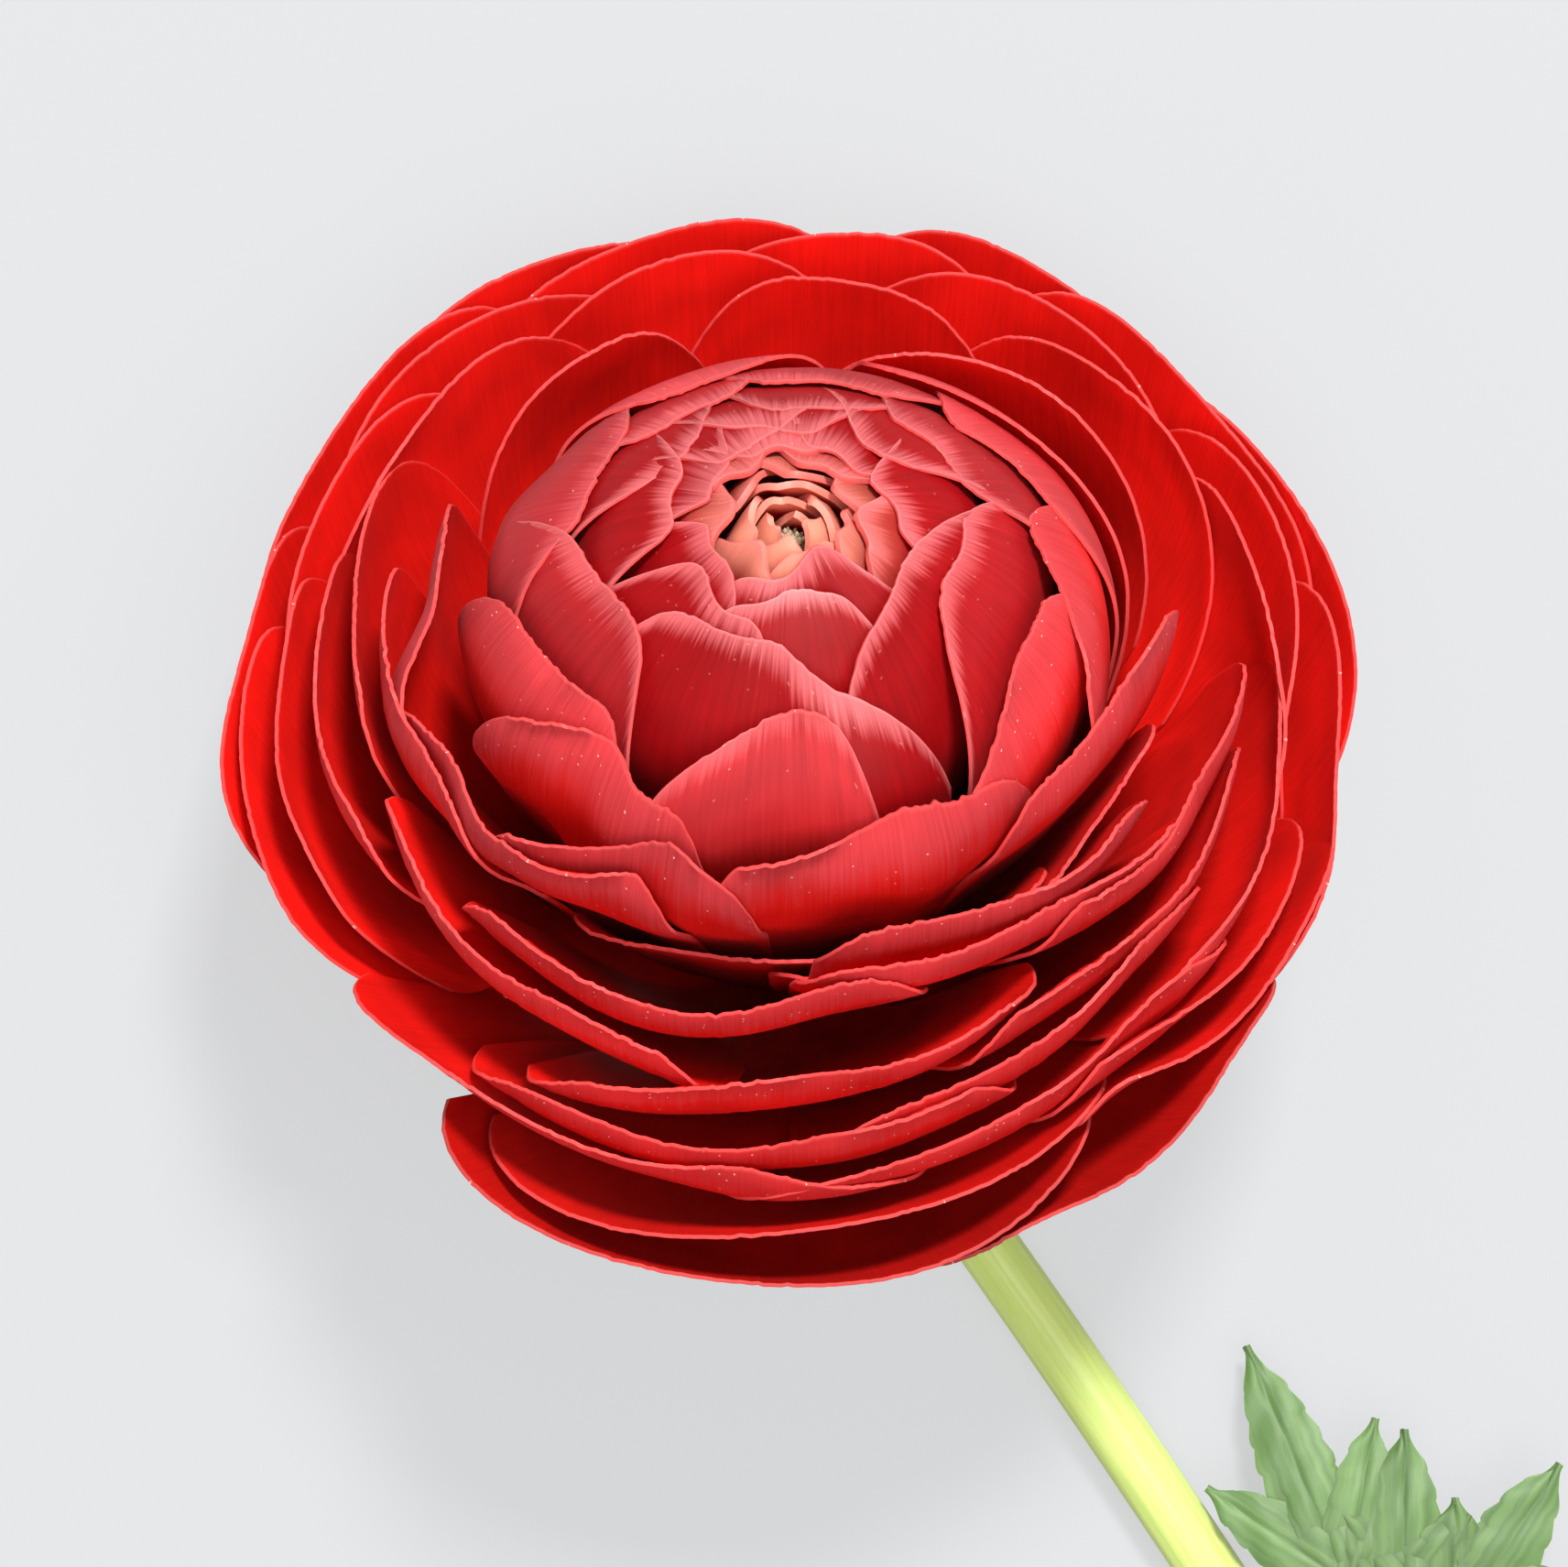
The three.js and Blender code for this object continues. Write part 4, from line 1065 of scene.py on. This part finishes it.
dusty = add(coats, "Math", TIMES, _0=dust, _1=outside)
dusty_young = add(coats, "Math", TIMES, _0=dusty, _1=young)
shiny = add(coats, "Math", TIMES, _0=dusty_young, _1=satin_and_painted_highlight_band)
satin = add(coats, "MapRange", Value=shiny, To_Min=0.2, To_Max=0.6)
velvet = add(coats, "MapRange", Value=dusty, To_Min=0.02, To_Max=0.05)
bump = add(coats, "Bump", Strength=0.35, Distance=VEIN_HEIGHT, Height=streaks)
wax = add(coats, "BsdfPrincipled", Base_Color=sparked, Roughness=PETAL_ROUGHNESS, IOR=PETAL_IOR,
          Normal=bump, Specular_IOR_Level=satin, Sheen_Weight=velvet, Sheen_Roughness=0.4,
          Sheen_Tint=linear(VELVET_PINK))
glow = add(coats, "BsdfTranslucent", Color=sparked, Normal=bump)
sheet = add(coats, "MixShader", _0=LIGHT_THROUGH, _1=wax, _2=glow)
add(coats, "OutputMaterial", Surface=sheet)
print("the petal's material:", len(coats.node_tree.nodes), "nodes")

# %% [markdown]
# ### Stem, leaf, sepals and heart
#
# All of these are plant flesh under a thin skin, with fine lines along their length between a darker and a
# lighter colour. What tells them apart is how much light goes in, how dry the skin is, and how far apart the
# lines are. So one function makes them all.

# %% Plant flesh
FLESH_IOR = 1.42
FLESH_DEPTHS = (0.6, 1.0, 0.25)  # green light goes deepest
FLESH_SCALE = 1.2 * MM
LINE_HEIGHT = 0.08 * MM
LINE_LENGTH = 1 / 0.06


def plant_flesh(name, colours, spacing, subsurface, roughness):
    """Fine lines, spacing mm apart, along a piece whose length attribute is along, round and part."""
    m = new_material(name)
    length = add(m, "Attribute", {"attribute_name": "length"}).outputs["Vector"]
    lines_at = add(m, "VectorMath", TIMES, _0=length, _1=(1 / LINE_LENGTH, 1 / spacing, 7))
    lines = add(m, "TexNoise", Vector=lines_at, Scale=1.0, Detail=3.0, Roughness=0.55)
    light = add(m, "MapRange", Value=lines, From_Min=0.3, From_Max=0.7)
    colour = add(m, "Mix", COLOURS, Factor=light, A=linear(colours[0]), B=linear(colours[1]))
    bump = add(m, "Bump", Strength=0.3, Distance=LINE_HEIGHT, Height=lines)
    skin = add(m, "BsdfPrincipled", Base_Color=colour, Roughness=roughness, IOR=FLESH_IOR, Normal=bump,
               Subsurface_Weight=subsurface, Subsurface_Radius=FLESH_DEPTHS, Subsurface_Scale=FLESH_SCALE)
    add(m, "OutputMaterial", Surface=skin)
    return m


# The stem is pale, juicy and smooth, so it glows yellow-green and has a soft shine
juicy_stem = plant_flesh("juicy_stem_skin", ("#A0B45A", "#B8C474"), 0.25, 0.4, 0.42)
# The leaf is thin and drier, a greyer green with paler lines
leaf_blade = plant_flesh("leaf_blade", ("#3C562A", "#5C7844"), 0.8, 0.2, 0.55)
# The sepals are the driest and most matt of the greens, and pale
downy_sepal = plant_flesh("downy_sepal", ("#7E9650", "#B4C288"), 0.6, 0.2, 0.6)
# The carpels are dark with pale flecks, which catch the light deep in the eye
carpel_skin = plant_flesh("carpel_skin", ("#3C3428", "#D8C8A4"), 0.2, 0.3, 0.4)
# The receptacle is a dark red of painted shade, so no gap between petals shows a pale spot
receptacle_painted_shade = plant_flesh("receptacle_painted_shade", ("#56100C", "#74201A"), 0.5, 0.2, 0.6)
flesh = (juicy_stem, leaf_blade, downy_sepal, carpel_skin, receptacle_painted_shade)
print("plant flesh:", [material.name for material in flesh])

# %% [markdown]
# ## Dressing the imported model
#
# Every piece rides on the flower's only body, replaces the imported node whose form it has, and gets its
# own material.

# %% Who wears what
# piece, material, node and slot
DRESS = [(whorl, coats, "bloom", "petals") for whorl in whorls]
DRESS += [
    (receptacle, receptacle_painted_shade, "bloom", "petals"),
    (heart, carpel_skin, "heart", "heart"),
    (calyx, downy_sepal, "sepals", "sepals"),
    (stem, juicy_stem, "stem", "stem"),
    (leaf, leaf_blade, "leaf", "leaf"),
]
for piece, material, node, slot in DRESS:
    piece.data.materials.clear()
    piece.data.materials.append(material)
    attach(piece, "root")
    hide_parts(node)
print("dressed pieces:", len(DRESS))

# %% [markdown]
# ## The camera
#
# The photograph looks down on the bloom. With the flower laid down, the camera hangs straight above it.
# Its place comes from two readings: where the eye of the bloom is in the picture, and the picture's scale
# on the plane through the middle of the bloom.

# %% Camera
PHOTO_SIZE = (1712, 1711)
EYE_PIXEL = (862, 565)
PIXELS_PER_MM = 16.8
SCALE_PLANE = 27.8  # mm above the surface
CAMERA_DISTANCE = 480.0
SENSOR_WIDTH = 36.0
NEAREST = 0.01

eye = lay_down(np.array([0, 0, EYE_HEIGHT]))
nearness = CAMERA_DISTANCE / (CAMERA_DISTANCE - (eye[2] - SCALE_PLANE))
offset_x = (PHOTO_SIZE[0] / 2 - EYE_PIXEL[0]) / PIXELS_PER_MM / nearness
offset_y = (EYE_PIXEL[1] - PHOTO_SIZE[1] / 2) / PIXELS_PER_MM / nearness
bpy.ops.object.camera_add()
camera = bpy.context.object
camera.location = Vector((eye[0] + offset_x, eye[1] + offset_y, SCALE_PLANE + CAMERA_DISTANCE)) * MM
camera.name = "camera"
camera.data.sensor_width = SENSOR_WIDTH
camera.data.lens = SENSOR_WIDTH * CAMERA_DISTANCE / (PHOTO_SIZE[0] / PIXELS_PER_MM)
camera.data.clip_start = NEAREST
camera.data.dof.use_dof = False
bpy.context.scene.camera = camera
print("camera at", [round(c, 4) for c in camera.location])

# %% [markdown]
# ## Floor and light
#
# The photograph's ground is an even, pale paper. Lit only from above, it would need so much light that the
# petals would bleach. So this floor is a mid grey that also glows a little by itself, as thin paper on a
# light table does.

# %% Floor
PAPER_GREY = "#4C4D4F"
PAPER_LIGHT = "#F4F5F6"

bpy.ops.object.select_all(action="DESELECT")
bpy.ops.mesh.primitive_plane_add(size=3)
floor = bpy.context.object
floor.name = "floor"
paper = new_material("pale_paper_lit_from_below")
matt = add(paper, "BsdfPrincipled", Base_Color=linear(PAPER_GREY), Roughness=0.9,
           Emission_Color=linear(PAPER_LIGHT), Emission_Strength=0.62)
add(paper, "OutputMaterial", Surface=matt)
floor.data.materials.append(paper)

# %% [markdown]
# One soft lamp high behind the bloom draws the petals' rims and folds. A wide, weak one from the front and
# an even white sky open the shadows between them.

# %% Lamps and sky
def soft_light(name, direction, distance, size, power):
    bpy.ops.object.light_add(type="AREA")
    light = bpy.context.object
    light.name = name
    light.data.energy = power
    light.data.size = size
    way = Vector(direction).normalized()
    light.location = Vector(FOOT * MM) + way * distance
    light.rotation_euler = way.to_track_quat("Z", "Y").to_euler()


soft_light("key_light", (0.14, 0.52, 0.84), distance=1.6, size=0.3, power=45)
soft_light("fill_light", (0.15, -0.25, 0.95), distance=1.1, size=0.8, power=9.5)
world = bpy.data.worlds.new("studio")
bpy.context.scene.world = world
world.use_nodes = True
sky = world.node_tree.nodes["Background"]
sky.inputs["Color"].default_value = (1, 1, 1, 1)
sky.inputs["Strength"].default_value = 0.7
bpy.context.scene.view_settings.view_transform = "Standard"
